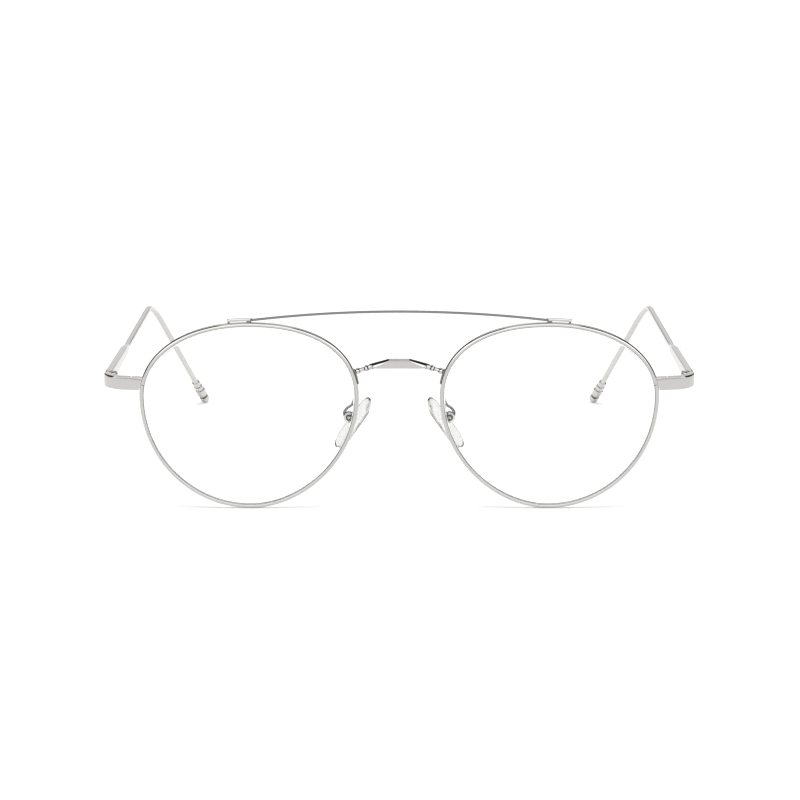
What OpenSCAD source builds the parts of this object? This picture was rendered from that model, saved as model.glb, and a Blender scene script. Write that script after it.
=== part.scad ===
// Double-bridge wire eyeglass frame with clear lenses, open and standing on a table.
// X runs across the face, Y from the front to the temple tips, Z up. Millimetres.
// The side at -X is drawn, and the side at +X is its mirror image.

/* [Lenses] */
// Lens width, from bevel to bevel
lens_w = 50; // [46:0.5:54]
// Lens height, from bevel to bevel
lens_h = 45; // [41:0.5:49]
// Distance between the two lenses at the nose
lens_gap = 20; // [16:0.5:24]
// Share of the lens height that lies above its widest line
widest_share = 0.4; // [0.3:0.01:0.5]
// Thickness of the lens
lens_t = 1.6; // [1.2:0.1:2.4]
// Radius that the lenses and eyewires are curved to
base_radius = 132; // [88:1:200]

/* [Eyewires] */
// Thickness of the eyewire, seen from the front
wire_w = 0.9; // [0.8:0.05:1.3]
// Depth of the eyewire, from front to back
wire_d = 1.4; // [1.3:0.05:2.2]
// Depth of the lens groove in the eyewire
groove_depth = 0.35; // [0.25:0.05:0.45]
// Width of the lens groove at its mouth
groove_w = 0.8; // [0.6:0.05:1.1]
// Lean of the front, top forward
front_tilt = 9; // [4:0.5:12]

/* [Bridges] */
// Height of the brow bar's middle above the widest line
brow_rise = 21.15; // [20:0.05:24]
// Diameter of the brow bar
brow_d = 0.7; // [0.6:0.02:1.2]
// Height of the bridge plate's top edge above the widest line
bridge_rise = 9.85; // [7:0.05:12]
// Height of the bridge plate in the middle
bridge_h = 2.25; // [1.6:0.05:3.2]
// Width of the bridge plate
bridge_w = 14.4; // [8:0.1:16]

/* [End pieces and hinges] */
// Width of the whole frame across the end pieces
frame_w = 138.9; // [130:0.1:148]
// Height of the end-piece strip
strip_h = 2.95; // [2.2:0.05:3.4]
// Thickness of the end-piece strip
strip_t = 1.7; // [1.2:0.05:2]
// Outer radius of the end piece's corner
corner_r = 6; // [4:0.1:8]
// Sweep of the end piece's front, back from the rim to the corner
corner_sweep = 13; // [5:1:20]
// Height of the hinge's middle above the widest line
hinge_rise = 3.6; // [1:0.05:8]
// Distance of the hinge pin behind the front
hinge_back = 10; // [7:0.1:12]
// Radius of the hinge knuckles
knuckle_r = 1.05; // [0.9:0.05:1.4]
// Height of the three knuckles together
hinge_h = 2.7; // [2.4:0.1:4]
// Radius of the hinge screw's shank
pin_r = 0.45; // [0.4:0.05:0.6]

/* [Temples] */
// Temple length, from the hinge pin round the bend to the tip
temple_len = 142; // [130:1:155]
// Length of the tip, from the bend's corner to the end
tip_len = 48; // [35:0.5:55]
// Angle of the bend behind the ear
bend_angle = 50; // [30:1:65]
// Turn of the bend towards the head
bend_lean = 19; // [0:1:30]
// Radius of the bend
bend_r = 15; // [8:1:25]
// Diameter of the temple rod
rod_d = 1.3; // [1.1:0.05:1.8]
// Length of the flat blade, from the hinge to the start of its shoulder
blade_len = 30; // [20:1:45]
// Length of the shoulder that narrows the blade to the rod
shoulder_len = 7; // [3:0.5:12]
// Radius of the tip's round end
tip_r = 1.25; // [1.1:0.05:2]

/* [Nose pads] */
// Length of a nose pad
pad_len = 14; // [11:0.5:17]
// Width of a nose pad
pad_w = 7.4; // [6:0.2:9]
// Lean of the pads in the front view, tops together
pad_lean = 36; // [15:0.5:45]
// Splay of the pads, back edges apart
pad_splay = 20; // [10:1:35]

/* [Hidden] */
$fn = 48;
wire_stations = 96;
lens_stations = 72;

// Fits: each is a gap between two pieces that go together.
lens_fit = 0.03;
bore_fit = 0.02;
pin_fit = 0.04;
turn_fit = 0.12;
butt_gap = 0.2;
knuckle_gap = 0.06;
seat_gap = 0.02;

// Fullness of the outline's four quarters: 2 is an ellipse, more is squarer.
full_top_nose = 2.25;
full_top_side = 2.05;
full_low_nose = 1.88;
full_low_side = 2.03;

top_h = lens_h * widest_share;
low_h = lens_h - top_h;
lens_mid = (top_h - low_h) / 2;
eye_x = (lens_w + lens_gap) / 2;

// Radial places on the eyewire, measured outwards from the lens edge.
groove_floor = lens_fit;
wire_in = groove_floor - groove_depth;
wire_out = wire_in + wire_w;
half_d = wire_d / 2;

function signed_pow(v, n) = sign(v) * pow(abs(v), n);

// A point of the lens outline at angle t, with 0 towards the nose and 90 up.
function fullness(t) =
    sin(t) >= 0
        ? (cos(t) >= 0 ? full_top_nose : full_top_side)
        : (cos(t) >= 0 ? full_low_nose : full_low_side);

function lens_point(t) = [
    lens_w / 2 * signed_pow(cos(t), 2 / fullness(t)),
    (sin(t) >= 0 ? top_h : low_h) * signed_pow(sin(t), 2 / fullness(t))
];

function lens_normal(t) =
    let (step = lens_point(t + 1) - lens_point(t - 1))
    [step.y, -step.x] / norm(step);

// The angles at which the outline passes a height over the widest line.
function nose_angle(v) = asin(pow(v / top_h, full_top_nose / 2));
function side_angle(v) = 180 - asin(pow(v / top_h, full_top_side / 2));

// How far the curved front falls back at a place on the lens.
function sag(u, v) =
    base_radius - sqrt(base_radius * base_radius - u * u - (v - lens_mid) * (v - lens_mid));

// A place beside the outline: r outwards from the lens edge and d backwards, before the tilt.
function wire_point(t, r, d) =
    let (q = lens_point(t) + r * lens_normal(t))
    [q.x - eye_x, sag(q.x, q.y) + d, q.y];

function tilted(p) = [
    p.x,
    p.y * cos(front_tilt) - p.z * sin(front_tilt),
    p.y * sin(front_tilt) + p.z * cos(front_tilt)
];

// Section of the eyewire, as [r, d]: rounded outside, with a V groove inside.
edge_round = 0.28;
edge_ease = 0.09;
wire_section = [
    [wire_out, -half_d + edge_round],
    [wire_out, half_d - edge_round],
    [wire_out - edge_ease, half_d - edge_ease],
    [wire_out - edge_round, half_d],
    [wire_in + edge_ease, half_d],
    [wire_in, half_d - edge_ease],
    [wire_in, groove_w / 2],
    [groove_floor, 0],
    [wire_in, -groove_w / 2],
    [wire_in, -half_d + edge_ease],
    [wire_in + edge_ease, -half_d],
    [wire_out - edge_round, -half_d],
    [wire_out - edge_ease, -half_d + edge_ease]
];

// The eyewire is split behind the end piece, where the closing blocks hold it shut.
split_gap = 0.25;
split_angle = side_angle(hinge_rise - 0.4);
split_half = split_gap / 2 / (lens_w / 2) * 180 / PI;
wire_angles = [
    for (i = [0 : wire_stations])
        split_angle + split_half + i * (360 - 2 * split_half) / wire_stations
];
wire_rings = [for (t = wire_angles) [for (s = wire_section) wire_point(t, s[0], s[1])]];

// The front stands on the lowest points of the eyewires.
front_z = -min([for (ring = wire_rings, p = ring) tilted(p).z]);
hinge_z = front_z + hinge_rise;

// Closing blocks: they reach out from the eyewire, behind the end piece's thin front.
block_l = 3.1;
block_d = 2.1;
block_h = 1.28;
block_seam = 0.14;
cover_t = 0.8;
lock_at = 1.25;
lock_pin_r = 0.4;
lock_head_r = 0.7;
lock_head_h = 0.35;

lock_seat = block_seam / 2 + block_h - lock_head_h;

// Plan of the end piece: a straight front from the eyewire, a corner and a short return to
// the hinge. The corner stays clear of the closing blocks and ends before the hinge.
outer_x = frame_w / 2;
strip_edge = 0.2;
strip_turn = 90 - corner_sweep;
strip_face = -0.18;
rim_side = tilted(wire_point(side_angle(hinge_rise), wire_out, 0)) + [0, strip_face, 0];
room_x = outer_x + rim_side.x;
turn_x = 1 - sin(corner_sweep);
turn_y = cos(corner_sweep) - turn_x * tan(corner_sweep);
corner_fit = max(strip_t + 0.2, min(
    corner_r,
    (room_x - (block_l + 0.4) * cos(corner_sweep)) / turn_x,
    (hinge_back - 0.2 - rim_side.y - room_x * tan(corner_sweep)) / turn_y
));
corner_x = outer_x - corner_fit;
run_reach = (room_x - corner_fit * turn_x) / cos(corner_sweep);
corner_y = rim_side.y + run_reach * sin(corner_sweep) + corner_fit * cos(corner_sweep);
front_run = run_reach + 3;
block_from = run_reach - block_l;
pin_x = outer_x - strip_t - 0.3;

// Hinge stack.
knuckle_h = (hinge_h - 2 * knuckle_gap) / 3;
head_r = 0.8;
head_h = 0.3;
leaf_t = 0.65;
leaf_h = 2.1;
leaf_len = 3.4;

// The temple runs back from the hinge and rises until its tip stands on the table.
blade_x = outer_x - strip_t / 2;
blade_inward = 0.15;
tip_reach = tip_len - tip_r;
bend_saving = bend_r * (2 * tan(bend_angle / 2) - bend_angle * PI / 180);
straight_len = temple_len - tip_len + bend_saving;
bend_cut = bend_r * tan(bend_angle / 2);
bend_lap = 0.3;
run_back = straight_len + tip_reach * cos(bend_angle);
run_down = tip_reach * sin(bend_angle) * cos(bend_lean);
temple_rise =
    asin((tip_r - hinge_z) / norm([run_back, run_down])) + atan2(run_down, run_back);
blade_h_front = strip_h;
blade_h_back = 2.3;
blade_points = 20;

// The turned knob at the tip: the length and radius of each step, and where each step ends.
knob_start = 8.6;
knob_collar = [2.3, 1.05];
knob_neck = [0.3, 0.9];
knob_ring = [1.5, 1.22];
knob_step = [0.25, 1];
knob_barrel = [2.3, 1.36];
knob_groove = [0.5, 0.92];
knob_rise = [
    knob_collar[0],
    knob_collar[0] + knob_neck[0],
    knob_collar[0] + knob_neck[0] + knob_ring[0],
    knob_collar[0] + knob_neck[0] + knob_ring[0] + knob_step[0],
    knob_collar[0] + knob_neck[0] + knob_ring[0] + knob_step[0] + knob_barrel[0]
];
knob_bore_len = 4.6;
knob_bevel = 0.15;

// Bridge plate, its turned arms and the feet that lie along the eyewires.
plate_t = 1.3;
plate_back = 0.75;
plate_bevel_d = 0.45;
plate_bevel = 0.4;
plate_land = 0.1;
plate_edge = 0.75;
plate_cut = 1.6;
plate_tip = 0.3;
arm_from = [1, 0.35];
arm_setback = 0.1;
arm_bend = 0.25;
arm_stub = [0.62, 0.9];
arm_ring = [0.72, 0.4];
arm_bead = [0.64, 0.5];
arm_tail = 0.45;
arm_neck = 0.45;
arm_cove = 0.2;
foot_from = 3.2;
foot_to = 6.6;
foot_t = 0.3;
foot_half_d = 0.45;
brow_foot_t = brow_d + 0.05;
brow_drop = 0.22;
brow_foot_in = 0.9;
brow_foot_from = 88.2;
brow_foot_to = 100;

// Nose pads hang on screws that run from front to back.
box_pos = [-11.95, 8, 21.8];
box_r = 1.25;
box_len = 1.9;
slot_w = 0.9;
slot_wall = 0.3;
pad_pin_r = 0.34;
pad_head_r = 0.8;
pad_head_h = 0.25;
lug_r = 0.8;
lug_t = 0.76;
pad_back = 1.72;
pad_rim_t = 0.75;
pad_drop = 0.65;
pad_crown_r = 20;
pad_narrow = 0.9;
arm_r = 0.33;
arm_angle = 1;
arm_sides = 8;
arm_steps = 4;

// Direction of the tip from the bend's corner, in the temple's own directions.
tip_run = [
    sin(bend_angle) * sin(bend_lean),
    cos(bend_angle),
    -sin(bend_angle) * cos(bend_lean)
];

// The middle of the part's depth lies at Y = 0.
front_edge = -brow_rise * sin(front_tilt) + sag(0, top_h) * cos(front_tilt) - brow_d / 2;
back_edge = end_point(tip_reach).y + tip_r;
mid_y = (front_edge + back_edge) / 2;

steel = [0.78, 0.78, 0.77];
dark_steel = [0.55, 0.55, 0.56];
clear_lens = [0.9, 0.95, 0.97, 0.3];
clear_pad = [0.93, 0.94, 0.93, 0.6];

// A direction or place of the temple, carried from its own run into the frame.
function temple_dir(p) =
    let (
        y = p.y * cos(temple_rise) - p.z * sin(temple_rise),
        z = p.y * sin(temple_rise) + p.z * cos(temple_rise)
    )
    [p.x * cos(blade_inward) + y * sin(blade_inward),
     y * cos(blade_inward) - p.x * sin(blade_inward), z];

function end_point(s) =
    [-blade_x, hinge_back, hinge_z] + temple_dir([0, straight_len, 0] + s * tip_run);

// Faces of a skin over rings of points, closed by flat ends. Seen from the last ring's
// side, each ring turns counter-clockwise.
module skin(rings) {
    n = len(rings);
    m = len(rings[0]);
    sides = [
        for (i = [0 : n - 2], j = [0 : m - 1])
            let (a = i * m + j, b = i * m + (j + 1) % m, c = a + m, d = b + m)
            each [[a, d, b], [a, c, d]]
    ];
    near = [for (j = [1 : m - 2]) [0, j, j + 1]];
    far_ring = (n - 1) * m;
    far = [for (j = [1 : m - 2]) [far_ring, far_ring + j + 1, far_ring + j]];
    polyhedron(points = [for (ring = rings) each ring], faces = concat(sides, near, far));
}

// Everything on the front leans with it.
module on_front() {
    translate([0, 0, front_z])
        rotate([front_tilt, 0, 0])
            children();
}

// Places a piece on the side at -X or, mirrored, at +X, and centres the part in depth.
module on_side(side) {
    translate([0, -mid_y, 0])
        mirror([side > 0 ? 1 : 0, 0, 0])
            children();
}

// The temple's own directions: +Y along the blade from the hinge, +X towards the head.
module on_temple() {
    translate([-blade_x, hinge_back, hinge_z])
        rotate([0, 0, -blade_inward])
            rotate([temple_rise, 0, 0])
                children();
}

// The tip's own directions: +Z along the tip, from the bend's corner.
module on_tip() {
    on_temple()
        translate([0, straight_len, 0])
            rotate([0, -bend_lean, 0])
                rotate([-90 - bend_angle, 0, 0])
                    children();
}

// The straight front of the end piece: +X from the corner to the rim, +Y back.
module on_run() {
    translate([-corner_x, corner_y, hinge_z])
        rotate([0, 0, -corner_sweep])
            translate([0, -corner_fit, 0])
                children();
}

module at_pin() {
    translate([-pin_x, hinge_back, hinge_z])
        children();
}

// A solid strip that follows the outside of the eyewire between two angles.
module wire_strip(from, to, thick, half_depth, steps) {
    rings = [
        for (i = [0 : steps])
            let (t = from + (to - from) * i / steps)
            [
                wire_point(t, wire_out + thick, -half_depth),
                wire_point(t, wire_out + thick, half_depth),
                wire_point(t, wire_out + seat_gap, half_depth),
                wire_point(t, wire_out + seat_gap, -half_depth)
            ]
    ];
    skin(rings);
}

// The space inside the eyewire's outside, which trims what is soldered to its side.
module side_trim() {
    edge = [
        for (t = [150 : 3 : 192])
            let (q = lens_point(t) + (wire_out + seat_gap) * lens_normal(t))
            [q.x - eye_x, q.y]
    ];
    on_front()
        rotate([90, 0, 0])
            linear_extrude(height = 24, center = true)
                polygon(concat(edge, [[-eye_x, edge[len(edge) - 1].y], [-eye_x, edge[0].y]]));
}

module rim() {
    color(steel)
        on_front()
            skin(wire_rings);
}

// A meniscus lens whose bevel sits in the groove of the eyewire.
module lens() {
    bevel = groove_w / 2 * (1 + wire_in / groove_depth * 0.1) - lens_fit;
    half_t = lens_t / 2;
    edge_in = wire_in - 0.05;
    inner = [0.12, 0.4, 0.72];
    edge = [
        [edge_in - 0.08, -half_t],
        [edge_in, -half_t + 0.08],
        [edge_in, -bevel],
        [0, 0],
        [edge_in, bevel],
        [edge_in, half_t - 0.08],
        [edge_in - 0.08, half_t]
    ];
    angles = [for (i = [0 : lens_stations - 1]) -i * 360 / lens_stations];
    front = [for (f = inner) [for (t = angles) lens_inside(t, f, -half_t)]];
    sides = [for (e = edge) [for (t = angles) wire_point(t, e[0], e[1])]];
    back = [for (i = [len(inner) - 1 : -1 : 0]) [for (t = angles) lens_inside(t, inner[i], half_t)]];
    color(clear_lens)
        on_front()
            skin(concat(front, sides, back));
}

function lens_inside(t, f, d) =
    let (p = lens_point(t), q = [p.x * f, lens_mid + (p.y - lens_mid) * f])
    [q.x - eye_x, sag(q.x, q.y) + d, q.y];

// Brow bar: one shallow arc whose flattened ends lie along the tops of the eyewires.
module brow_bar() {
    foot_top = top_h + wire_out + brow_foot_t - brow_drop;
    foot_x = eye_x - brow_foot_in;
    rise = brow_rise - foot_top;
    bar_r = (foot_x * foot_x + rise * rise) / (2 * rise);
    half = asin(foot_x / bar_r) + 0.05;
    color(steel)
        translate([0, -mid_y, 0])
            on_front() {
                translate([0, sag(0, top_h), brow_rise - bar_r])
                    rotate([90, 0, 0])
                        rotate([0, 0, 90 - half])
                            rotate_extrude(angle = 2 * half, $fn = 360)
                                translate([bar_r, 0])
                                    circle(r = brow_d / 2, $fn = 24);
                for (side = [0, 1])
                    mirror([side, 0, 0])
                        wire_strip(brow_foot_from, brow_foot_to, brow_foot_t, foot_half_d, 6);
            }
}

// Bridge: a bevelled plate between two turned arms, with feet along the eyewires.
module bridge() {
    plate_d = sag(0, bridge_rise) + plate_back;
    color(steel)
        translate([0, -mid_y, 0])
            on_front() {
                hull() {
                    translate([0, plate_d + plate_t / 2, 0])
                        rotate([90, 0, 0])
                            linear_extrude(height = plate_t - plate_bevel_d)
                                bridge_outline(0);
                    translate([0, plate_d - plate_t / 2 + plate_land, 0])
                        rotate([90, 0, 0])
                            linear_extrude(height = plate_land)
                                bridge_outline(plate_bevel);
                }
                for (side = [0, 1])
                    mirror([side, 0, 0]) {
                        bridge_arm(plate_d);
                        wire_strip(
                            nose_angle(foot_from), nose_angle(foot_to), foot_t, foot_half_d, 5
                        );
                    }
            }
}

// Front view of the plate: a flat top, long sloping shoulders and a straight underside.
module bridge_outline(inset) {
    top = bridge_rise;
    low = bridge_rise - bridge_h;
    flat = bridge_w * 0.165;
    end = bridge_w / 2;
    knee = top - (end - flat) * 0.29;
    polygon([
        [-flat + inset * 0.2, top], [flat - inset * 0.2, top],
        [end - inset * 2, knee + inset * 0.3],
        [end - plate_tip - inset * 2, knee - plate_edge],
        [end - plate_cut - inset * 2, low], [-end + plate_cut + inset * 2, low],
        [-end + plate_tip + inset * 2, knee - plate_edge],
        [-end + inset * 2, knee + inset * 0.3]
    ]);
}

// A turned arm from the plate to the eyewire, with two ringed beads.
module bridge_arm(plate_d) {
    from = [
        -bridge_w / 2 + arm_from[0], plate_d + arm_setback, bridge_rise - bridge_h + arm_from[1]
    ];
    to = wire_point(nose_angle(foot_to - 0.6), wire_out + arm_bend, 0);
    len = norm(to - from);
    ring_at = arm_stub[1] + 2 * arm_cove;
    bead_at = max(ring_at + arm_ring[1] + 3 * arm_cove, len - arm_bead[1] - arm_tail);
    bead_end = bead_at + arm_bead[1];
    profile = [
        [0, 0], [arm_stub[0], 0], [arm_stub[0], arm_stub[1]],
        [arm_neck, arm_stub[1] + arm_cove], [arm_ring[0], ring_at],
        [arm_ring[0], ring_at + arm_ring[1]], [arm_neck, ring_at + arm_ring[1] + arm_cove],
        [arm_neck, bead_at - arm_cove], [arm_bead[0], bead_at],
        [arm_bead[0], bead_end], [arm_neck, bead_end + arm_cove], [arm_neck, len], [0, len]
    ];
    dir = (to - from) / len;
    translate(from)
        rotate([0, acos(dir.z), atan2(dir.y, dir.x)])
            rotate_extrude()
                polygon(profile);
}

// Section of the end-piece strip, standing on edge, with eased corners.
module strip_section() {
    x = strip_t / 2;
    y = strip_h / 2;
    e = strip_edge;
    polygon([
        [x - e, -y], [x, -y + e], [x, y - e], [x - e, y],
        [-x + e, y], [-x, y - e], [-x, -y + e], [-x + e, -y]
    ]);
}

// End piece: runs out from the eyewire, round the corner and back to the hinge.
module end_piece() {
    color(steel)
        difference() {
            union() {
                translate([-corner_x, corner_y, hinge_z])
                    rotate([0, 0, 180])
                        rotate_extrude(angle = strip_turn, $fn = 96)
                            translate([corner_fit - strip_t / 2, 0])
                                strip_section();
                translate([-blade_x, hinge_back - butt_gap / 2, hinge_z])
                    rotate([90, 0, 0])
                        linear_extrude(height = hinge_back - butt_gap / 2 - corner_y)
                            strip_section();
                on_run()
                    translate([0, strip_t / 2, 0])
                        rotate([90, 0, 90])
                            linear_extrude(height = front_run)
                                strip_section();
            }
            side_trim();
            block_space(seat_gap);
            knuckle_space(knuckle_r + seat_gap, hinge_h / 2 + 1, -hinge_h / 2 - 1);
            knuckle_space(knuckle_r + turn_fit, knuckle_h / 2 + knuckle_gap, -knuckle_h / 2 - knuckle_gap);
        }
}

// The pocket behind the end piece's thin front, where the closing blocks lie.
module block_space(gap) {
    on_run()
        translate([block_from - gap, cover_t - gap, -strip_h])
            cube([front_run, block_d + 3, 2 * strip_h]);
}

module knuckle_space(r, top, low) {
    at_pin()
        translate([0, 0, low])
            cylinder(h = top - low, r = r);
}

// One closing block, upper or lower, soldered to an end of the eyewire.
module closing_block(up) {
    low = up > 0 ? block_seam / 2 : -block_seam / 2 - block_h;
    color(steel)
        difference() {
            on_run()
                translate([block_from, cover_t, low])
                    cube([front_run - block_from, block_d, block_h]);
            side_trim();
            lock_screw_place() {
                cylinder(h = 2 * strip_h, r = lock_pin_r + bore_fit, center = true);
                translate([0, 0, lock_seat])
                    cylinder(h = strip_h, r = lock_head_r + bore_fit);
            }
        }
}

module lock_screw_place() {
    on_run()
        translate([block_from + lock_at, cover_t + block_d / 2, 0])
            children();
}

// Vertical screw that draws the two closing blocks together, its head sunk in the upper one.
module lock_screw() {
    end = -block_seam / 2 - block_h;
    color(dark_steel)
        lock_screw_place() {
            translate([0, 0, end])
                cylinder(h = lock_seat - end, r = lock_pin_r);
            translate([0, 0, lock_seat])
                cylinder(h = lock_head_h, r = lock_head_r);
        }
}

// Front half of the barrel hinge: two knuckles on a leaf inside the corner.
module front_hinge() {
    leaf_in = corner_fit - strip_t - leaf_t - seat_gap;
    leaf_x = outer_x - strip_t - leaf_t - seat_gap;
    leaf_from = leaf_in > 0 ? corner_y : hinge_back - leaf_len;
    color(steel)
        difference() {
            union() {
                knuckle_space(knuckle_r, hinge_h / 2, -hinge_h / 2);
                if (leaf_in > 0)
                    translate([-corner_x, corner_y, hinge_z - leaf_h / 2])
                        rotate([0, 0, 180])
                            rotate_extrude(angle = 34, $fn = 96)
                                translate([leaf_in, 0])
                                    square([leaf_t, leaf_h]);
                translate([-leaf_x - leaf_t, leaf_from - 0.05, hinge_z - leaf_h / 2])
                    cube([leaf_t, hinge_back - leaf_from - knuckle_r / 2, leaf_h]);
            }
            knuckle_space(pin_r + bore_fit, hinge_h, -hinge_h);
            knuckle_space(knuckle_r + turn_fit, knuckle_h / 2 + knuckle_gap, -knuckle_h / 2 - knuckle_gap);
        }
}

// Hinge screw: a smooth shank through the three knuckles, with a low head on top.
module hinge_screw() {
    color(dark_steel)
        at_pin() {
            translate([0, 0, -hinge_h / 2])
                cylinder(h = hinge_h, r = pin_r);
            translate([0, 0, hinge_h / 2])
                cylinder(h = head_h, r = head_r);
        }
}

// Temple half of the hinge: the middle knuckle on a leaf along the blade.
module temple_hinge() {
    color(steel)
        difference() {
            union() {
                knuckle_space(knuckle_r, knuckle_h / 2, -knuckle_h / 2);
                difference() {
                    on_temple()
                        translate([strip_t / 2 + seat_gap, butt_gap / 2, -leaf_h / 2])
                            cube([leaf_t, leaf_len, leaf_h]);
                    turn_space();
                }
            }
            knuckle_space(pin_r + pin_fit, hinge_h, -hinge_h);
        }
}

// Room for the front's two knuckles to turn beside the temple.
module turn_space() {
    knuckle_space(knuckle_r + turn_fit, hinge_h / 2 + 1, knuckle_h / 2);
    knuckle_space(knuckle_r + turn_fit, -knuckle_h / 2, -hinge_h / 2 - 1);
}

// Section of the blade, from a rounded bar at 0 to the round rod at 1.
function blade_ring(s, k) =
    let (
        half_x = strip_t / 2 + (rod_d / 2 - strip_t / 2) * k,
        tall = blade_h_front + (blade_h_back - blade_h_front) * min(1, s / blade_len),
        half_z = tall / 2 + (rod_d / 2 - tall / 2) * k,
        n = 5 - 3 * k
    )
    [
        for (i = [0 : blade_points - 1])
            let (a = i * 360 / blade_points)
            [half_x * signed_pow(cos(a), 2 / n), s, half_z * signed_pow(sin(a), 2 / n)]
    ];

function eased(x) = x * x * (3 - 2 * x);

// Temple: a flat blade, a shoulder, then a round rod bent down behind the ear.
module temple() {
    shoulder_steps = 7;
    blade_stations = concat(
        [[butt_gap / 2, 0], [blade_len / 2, 0]],
        [for (i = [0 : shoulder_steps])
            [blade_len + shoulder_len * i / shoulder_steps, eased(i / shoulder_steps)]]
    );
    rod_from = blade_len + shoulder_len - 0.2;
    bend_start = straight_len - bend_cut;
    rod_end = tip_len - knob_start + knob_bore_len - 0.3;
    color(steel) {
        difference() {
            on_temple()
                skin([for (i = [len(blade_stations) - 1 : -1 : 0])
                    blade_ring(blade_stations[i][0], blade_stations[i][1])]);
            knuckle_space(knuckle_r + seat_gap, knuckle_h / 2 + 0.1, -knuckle_h / 2 - 0.1);
            turn_space();
        }
        on_temple() {
            translate([0, rod_from, 0])
                rotate([-90, 0, 0])
                    cylinder(h = bend_start + bend_lap - rod_from, r = rod_d / 2);
            translate([0, bend_start, 0])
                rotate([0, -bend_lean, 0])
                    translate([0, 0, -bend_r])
                        rotate([90, 0, 90])
                            rotate([0, 0, 90 - bend_angle])
                                rotate_extrude(angle = bend_angle, $fn = 96)
                                    translate([bend_r, 0])
                                        circle(r = rod_d / 2 - 0.01);
        }
        on_tip()
            translate([0, 0, bend_cut - bend_lap])
                cylinder(h = rod_end - bend_cut + bend_lap, r = rod_d / 2);
    }
}

// Turned knob on the end of the rod: collar, ring and barrel round a blind bore.
module tip_knob() {
    start = tip_len - knob_start;
    b = knob_bevel;
    z = knob_rise;
    bore = rod_d / 2 + bore_fit;
    color(steel)
        on_tip()
            translate([0, 0, start])
                rotate_extrude()
                    polygon([
                        [bore, 0], [knob_collar[1] - b, 0], [knob_collar[1], b],
                        [knob_collar[1], z[0] - b], [knob_neck[1], z[0]],
                        [knob_neck[1], z[1]], [knob_ring[1] - b, z[1]],
                        [knob_ring[1], z[1] + b], [knob_ring[1], z[2] - b],
                        [knob_step[1], z[2]], [knob_step[1], z[3]],
                        [knob_barrel[1] - b, z[3]], [knob_barrel[1], z[3] + b],
                        [knob_barrel[1], z[4]], [0, z[4]],
                        [0, knob_bore_len], [bore, knob_bore_len]
                    ]);
}

// Round cap that ends the tip and rests on the table.
module tip_cap() {
    start = tip_len - knob_start + knob_rise[4];
    color(steel)
        on_tip() {
            translate([0, 0, start])
                cylinder(h = knob_groove[0] + 0.1, r = knob_groove[1]);
            rotate_extrude($fn = 96)
                intersection() {
                    union() {
                        translate([0, tip_reach])
                            circle(r = tip_r, $fn = 96);
                        translate([0, start + knob_groove[0]])
                            square([tip_r, tip_reach - start - knob_groove[0]]);
                    }
                    translate([0, start + knob_groove[0]])
                        square([tip_r + 1, tip_len]);
                }
        }
}

// Smooth curve through a list of points.
function curve_at(p, i, x) =
    let (
        a = p[max(0, i - 1)], b = p[i], c = p[i + 1], d = p[min(len(p) - 1, i + 2)]
    )
    0.5 * (2 * b + (c - a) * x + (2 * a - 5 * b + 4 * c - d) * x * x + (3 * b - a - 3 * c + d) * x * x * x);

function smooth(p, steps) = concat(
    [for (i = [0 : len(p) - 2], j = [0 : steps - 1]) curve_at(p, i, j / steps)],
    [p[len(p) - 1]]
);

// Rings of a round wire along a route, carried from one to the next without twist.
function wire_frames(route, i = 0, side = [1, 0, 0]) =
    i >= len(route) ? [] :
    let (
        step = route[min(len(route) - 1, i + 1)] - route[max(0, i - 1)],
        dir = step / norm(step),
        flat = side - dir * (side * dir),
        u = flat / norm(flat),
        w = cross(dir, u)
    )
    concat([[u, w]], wire_frames(route, i + 1, u));

module round_wire(route, r, sides) {
    frames = wire_frames(route);
    skin([
        for (i = [0 : len(route) - 1])
            [for (k = [0 : sides - 1])
                let (a = k * 360 / sides)
                route[i] + r * (cos(a) * frames[i][0] + sin(a) * frames[i][1])]
    ]);
}

// Pad arm: a wire that loops back from the eyewire to a slotted round box.
module pad_arm() {
    foot = tilted(wire_point(arm_angle, wire_out - wire_w / 2, half_d + seat_gap)) + [0, 0, front_z];
    route = smooth([
        foot,
        foot + [-0.3, 1.5, 0.1],
        box_pos + [1.2, -2.4, 4.4],
        box_pos + [0.6, -0.9, 3],
        box_pos + [-0.35, 1, 1.95],
        box_pos + [-1.05, 0.75, 1],
        box_pos + [-box_r + 0.3, 0, 0.1]
    ], arm_steps);
    color(steel)
        difference() {
            union() {
                round_wire(route, arm_r, arm_sides);
                pad_box_place()
                    cylinder(h = box_len, r = box_r, center = true);
            }
            pad_box_place()
                cylinder(h = 2 * box_len, r = pad_pin_r + bore_fit, center = true);
            translate(box_pos + [-box_r + slot_wall, -slot_w / 2, -box_r - 0.1])
                cube([4 * box_r, slot_w, 2 * box_r + 0.2]);
        }
}

module pad_box_place() {
    translate(box_pos)
        rotate([90, 0, 0])
            children();
}

// Pad screw: runs from front to back through the box and the pad's lug.
module pad_screw() {
    color(dark_steel)
        pad_box_place() {
            cylinder(h = box_len, r = pad_pin_r, center = true);
            translate([0, 0, box_len / 2])
                cylinder(h = pad_head_h, r = pad_head_r);
        }
}

// Nose pad: a soft drop-shaped pad with a crowned face and a lug that rocks on the screw.
module nose_pad() {
    color(clear_pad)
        difference() {
            union() {
                translate(box_pos)
                    rotate([0, pad_lean, 0])
                        rotate([0, 0, pad_splay])
                            translate([pad_back, 0, -pad_drop])
                                pad_body();
                pad_box_place()
                    cylinder(h = lug_t, r = lug_r, center = true);
                translate(box_pos)
                    rotate([0, pad_lean, 0])
                        translate([0, -lug_t / 2, -lug_r])
                            cube([pad_back + 0.3, lug_t, 2 * lug_r]);
            }
            pad_box_place()
                cylinder(h = 2 * box_len, r = pad_pin_r + pin_fit, center = true);
        }
}

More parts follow.
